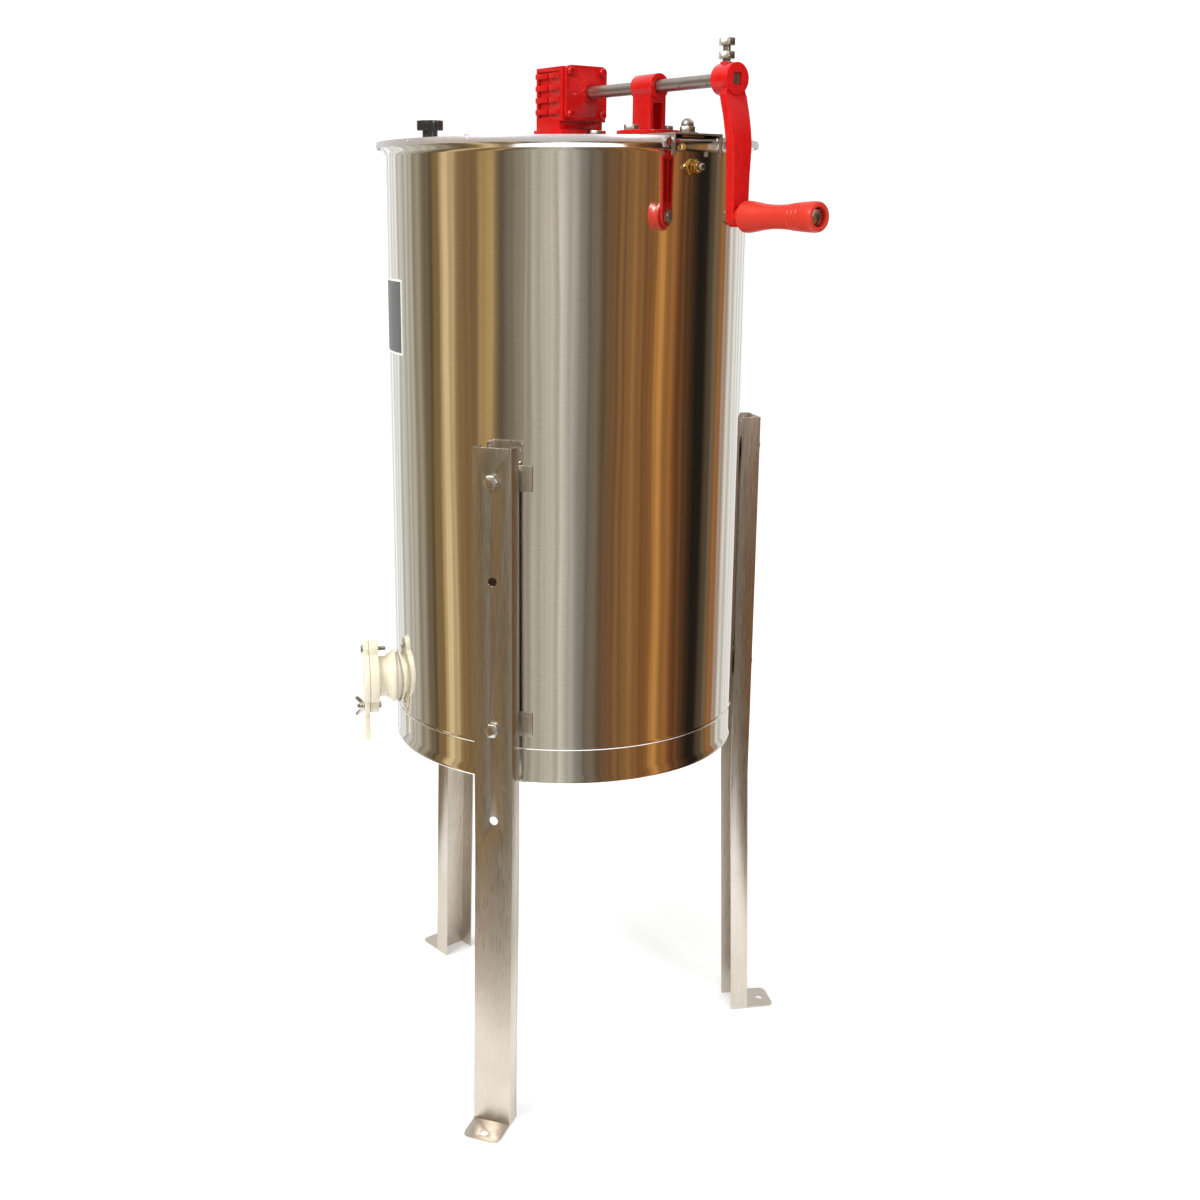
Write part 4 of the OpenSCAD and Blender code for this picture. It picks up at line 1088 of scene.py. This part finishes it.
@dataclass
class Studio:
    """The floor, the lights, the panels round the object and the camera."""

    camera_heading: float = -39.0
    camera_reach: float = 1.5453
    camera_z: float = 0.9213
    pitch: float = -13.04
    yaw: float = 1.52
    lens: float = 43.61
    camera_shift: tuple[float, float] = (0.0611, -0.0419)
    wobble: float = 0.10
    streaks: float = 12.0
    streak_range: tuple[float, float] = (0.66, 1.22)
    wobble_scale: tuple[float, float, float] = (5.0, 5.0, 3.0)
    mat_radius: float = 0.6
    soft_edge: float = 0.8
    floor_half: float = 8.0
    floor_drop: float = 0.0005
    aim: tuple[float, float, float] = (0.0, 0.0, 0.65)
    lamps: Sequence[Lamp] = (Lamp("key_light", (0.3, -2.1, 2.4), 0.9, 30.0),
                             Lamp("side_light", (2.5, -0.1, 1.9), 0.55, 14.0),
                             Lamp("top_light", (1.1, -0.6, 2.9), 0.7, 20.0, mirrored=False))
    sun_place: tuple[float, float, float] = (-0.5, -2.2, 2.6)
    diffuse_level: float = 0.58
    sun_angle: float = 45.0
    sun_strength: float = 1.5
    floor_glow: float = 0.2
    panels: Sequence[Panel] = field(default_factory=lambda: (
        Panel(-180, -152, srgb(250, 250, 248), True),
        Panel(-150, -112, srgb(206, 203, 192)),
        Panel(-112, -100, srgb(150, 138, 116)),
        Panel(-100, -88, srgb(96, 78, 52)),
        Panel(-88, -83, srgb(150, 122, 80)),
        Panel(-83, -76, srgb(228, 200, 150), True),
        Panel(-76, -66, srgb(138, 110, 72)),
        Panel(-66, -55, srgb(118, 92, 62)),
        Panel(-55, -45, srgb(184, 152, 100)),
        Panel(-45, -37, srgb(96, 82, 66)),
        Panel(-37, -26, srgb(138, 128, 110)),
        Panel(-26, -10, srgb(174, 167, 150)),
        Panel(-10, 1, srgb(208, 199, 184)),
        Panel(1, 8, srgb(160, 156, 144)),
        Panel(8, 20, srgb(116, 108, 94)),
        Panel(20, 38, srgb(112, 80, 52)),
        Panel(38, 50, srgb(146, 104, 62)),
        Panel(50, 58, srgb(120, 78, 44)),
        Panel(58, 66, srgb(178, 124, 66), True),
        Panel(66, 78, srgb(130, 82, 46)),
        Panel(78, 86, srgb(92, 62, 38)),
        Panel(89, 99, srgb(36, 30, 24), True),
        Panel(102, 112, srgb(112, 96, 74)),
        Panel(112, 121, srgb(150, 98, 52)),
        Panel(121, 134, srgb(206, 200, 188)),
        Panel(136, 180, srgb(250, 250, 250)),
    ))

    def build(self) -> None:
        """Sets the floor, the light, the camera and how tones are shown."""
        bpy.context.scene.view_settings.view_transform = "Standard"
        self._floor()
        self._world()
        for lamp in self.lamps:
            self._light(lamp)
        self._sun()
        self._camera()

    def _floor(self) -> None:
        """Lays the plain pale floor, and on it the round mat that polished steel mirrors."""
        bm = bmesh.new()
        bmesh.ops.create_grid(bm, x_segments=2, y_segments=2, size=self.floor_half)
        placed(bm, shift(z=-self.floor_drop))
        mesh = bpy.data.meshes.new("studio_floor")
        bm.to_mesh(mesh)
        bm.free()
        floor = bpy.data.objects.new("studio_floor", mesh)
        bpy.context.scene.collection.objects.link(floor)
        graph = Graph("floor_paper")
        tone = graph.remap(graph.noise(graph.place(), 3.0, 2.0), 0.3, 0.7, 0.93, 0.95)
        graph.feed(graph.shader.inputs["Base Color"],
                   graph.add("ShaderNodeCombineColor", {0: tone, 1: tone, 2: tone}).outputs[0])
        graph.shader.inputs["Roughness"].default_value = 0.9
        graph.shader.inputs["Emission Color"].default_value = (1.0, 1.0, 1.0, 1.0)
        graph.shader.inputs["Emission Strength"].default_value = self.floor_glow
        graph.shader.inputs["Specular IOR Level"].default_value = 0.1
        mesh.materials.append(graph.material)
        floor.visible_glossy = False
        disc = bmesh.new()
        bmesh.ops.create_circle(disc, cap_ends=True, segments=64, radius=self.mat_radius)
        paper = bpy.data.meshes.new("studio_mat")
        disc.to_mesh(paper)
        disc.free()
        mat = bpy.data.objects.new("studio_mat", paper)
        bpy.context.scene.collection.objects.link(mat)
        paper.materials.append(graph.material)

    def _world(self) -> None:
        """Puts an even white round the scene, with the studio panels seen only in reflections."""
        world = bpy.data.worlds.new("studio")
        bpy.context.scene.world = world
        world.use_nodes = True
        tree = world.node_tree
        tree.nodes.clear()
        add, link = tree.nodes.new, tree.links.new
        coords, parts = add("ShaderNodeTexCoord"), add("ShaderNodeSeparateXYZ")
        turn = add("ShaderNodeVectorRotate")
        turn.rotation_type = "Z_AXIS"
        turn.inputs["Angle"].default_value = math.radians(-self.camera_heading)
        link(coords.outputs["Generated"], turn.inputs["Vector"])
        link(turn.outputs[0], parts.inputs[0])
        angle, share = add("ShaderNodeMath"), add("ShaderNodeMapRange")
        angle.operation = "ARCTAN2"
        link(parts.outputs[1], angle.inputs[0])
        link(parts.outputs[0], angle.inputs[1])
        wobble, spread, sway = add("ShaderNodeTexNoise"), add("ShaderNodeMapping"), add("ShaderNodeMath")
        link(coords.outputs["Generated"], spread.inputs["Vector"])
        spread.inputs["Scale"].default_value = self.wobble_scale
        link(spread.outputs[0], wobble.inputs["Vector"])
        wobble.inputs["Scale"].default_value, wobble.inputs["Detail"].default_value = 1.0, 4.0
        sway.operation = "MULTIPLY_ADD"
        link(wobble.outputs[0], sway.inputs[0])
        sway.inputs[1].default_value = self.wobble
        link(angle.outputs[0], sway.inputs[2])
        link(sway.outputs[0], share.inputs[0])
        share.inputs[1].default_value = -math.pi + self.wobble / 2
        share.inputs[2].default_value = math.pi + self.wobble / 2
        ramp = self._ramp(add("ShaderNodeValToRGB"))
        link(share.outputs[0], ramp.inputs[0])
        overhead, top = add("ShaderNodeMapRange"), add("ShaderNodeMix")
        top.data_type = "RGBA"
        link(parts.outputs[2], overhead.inputs[0])
        overhead.inputs[1].default_value, overhead.inputs[2].default_value = 0.25, 0.75
        link(overhead.outputs[0], top.inputs["Factor"])
        link(ramp.outputs[0], top.inputs[6])
        top.inputs[7].default_value = (0.95, 0.95, 0.95, 1.0)
        mirrored, plain = add("ShaderNodeBackground"), add("ShaderNodeBackground")
        link(top.outputs[2], mirrored.inputs["Color"])
        streak, streak_level = add("ShaderNodeTexNoise"), add("ShaderNodeMapRange")
        streak.noise_dimensions = "1D"
        link(sway.outputs[0], streak.inputs["W"])
        streak.inputs["Scale"].default_value, streak.inputs["Detail"].default_value = self.streaks, 3.0
        link(streak.outputs[0], streak_level.inputs[0])
        streak_level.inputs[1].default_value, streak_level.inputs[2].default_value = 0.35, 0.65
        streak_level.inputs[3].default_value, streak_level.inputs[4].default_value = self.streak_range
        link(streak_level.outputs[0], mirrored.inputs["Strength"])
        plain.inputs["Color"].default_value = (1.0, 1.0, 1.0, 1.0)
        ray, mix, out = add("ShaderNodeLightPath"), add("ShaderNodeMixShader"), add("ShaderNodeOutputWorld")
        level = add("ShaderNodeMapRange")
        link(ray.outputs["Is Camera Ray"], level.inputs[0])
        level.inputs[3].default_value, level.inputs[4].default_value = self.diffuse_level, 1.12
        link(level.outputs[0], plain.inputs["Strength"])
        link(ray.outputs["Is Glossy Ray"], mix.inputs[0])
        link(plain.outputs[0], mix.inputs[1])
        link(mirrored.outputs[0], mix.inputs[2])
        link(mix.outputs[0], out.inputs[0])

    def _ramp(self, node: bpy.types.Node) -> bpy.types.Node:
        """Fills a colour ramp with the panels' tones.

        Args:
            node: The ramp's node.

        Returns:
            The same node.
        """
        node.color_ramp.interpolation = "LINEAR"
        marks = []
        for panel in sorted(self.panels, key=lambda p: p.start):
            middle = (panel.start + panel.end) / 2
            inside = (panel.start + self.soft_edge, panel.end - self.soft_edge)
            places = inside if panel.crisp else (middle,)
            marks += [(self._share(place), panel.tone) for place in places]
        stops = node.color_ramp.elements
        stops[0].position, stops[1].position = marks[0][0], marks[-1][0]
        stops[0].color, stops[1].color = (*marks[0][1], 1.0), (*marks[-1][1], 1.0)
        for position, tone in marks[1:-1]:
            stop = stops.new(position)
            stop.color = (*tone, 1.0)
        return node

    @staticmethod
    def _share(heading: float) -> float:
        """Turns a heading in degrees into a place on the ramp."""
        return (heading + 180.0) / 360.0

    def _light(self, lamp: Lamp) -> None:
        """Hangs a soft square light that faces the drum.

        Args:
            lamp: The light's sizes and place.
        """
        light = bpy.data.lights.new(lamp.name, "AREA")
        light.shape = "SQUARE"
        light.size = lamp.size
        light.energy = lamp.watts
        self._hang(light, lamp.place, lamp.mirrored)

    def _sun(self) -> None:
        """Adds a broad sun that shines on the drum."""
        light = bpy.data.lights.new("broad_sun", "SUN")
        light.angle = math.radians(self.sun_angle)
        light.energy = self.sun_strength
        self._hang(light, self.sun_place, mirrored=False)

    def _hang(self, light: bpy.types.Light, place: tuple[float, float, float], mirrored: bool) -> None:
        """Puts a light in its place and turns it to the drum.

        Args:
            light: The light's data.
            place: Where it hangs.
            mirrored: True if polished faces show it.
        """
        hung = bpy.data.objects.new(light.name, light)
        bpy.context.scene.collection.objects.link(hung)
        hung.location = place
        hung.rotation_euler = (Vector(self.aim) - Vector(place)).to_track_quat("-Z", "Y").to_euler()
        hung.visible_glossy = mirrored

    def _camera(self) -> None:
        """Sets the camera in front of the drum, a little above its middle."""
        data = bpy.data.cameras.new("camera")
        data.lens = self.lens
        data.sensor_width = 36.0
        data.shift_x, data.shift_y = self.camera_shift
        camera = bpy.data.objects.new("camera", data)
        bpy.context.scene.collection.objects.link(camera)
        heading = math.radians(self.camera_heading)
        camera.location = (self.camera_reach * math.cos(heading), self.camera_reach * math.sin(heading),
                           self.camera_z)
        look = self.camera_heading + 180.0 - 90.0 + self.yaw
        camera.rotation_euler = (math.radians(90.0 + self.pitch), 0.0, math.radians(look))
        bpy.context.scene.camera = camera


def main() -> None:
    """Builds the studio and every sub-assembly, in order."""
    logging.basicConfig(level=logging.INFO, format="%(message)s")
    Studio().build()
    for assembly in (Drum(), Legs(), Bar(), Drive(), Crank(), Reel(), Lids(), Gate()):
        assembly.build()
        LOG.info("%s is in place", type(assembly).__name__)


if __name__ == "__main__":
    main()
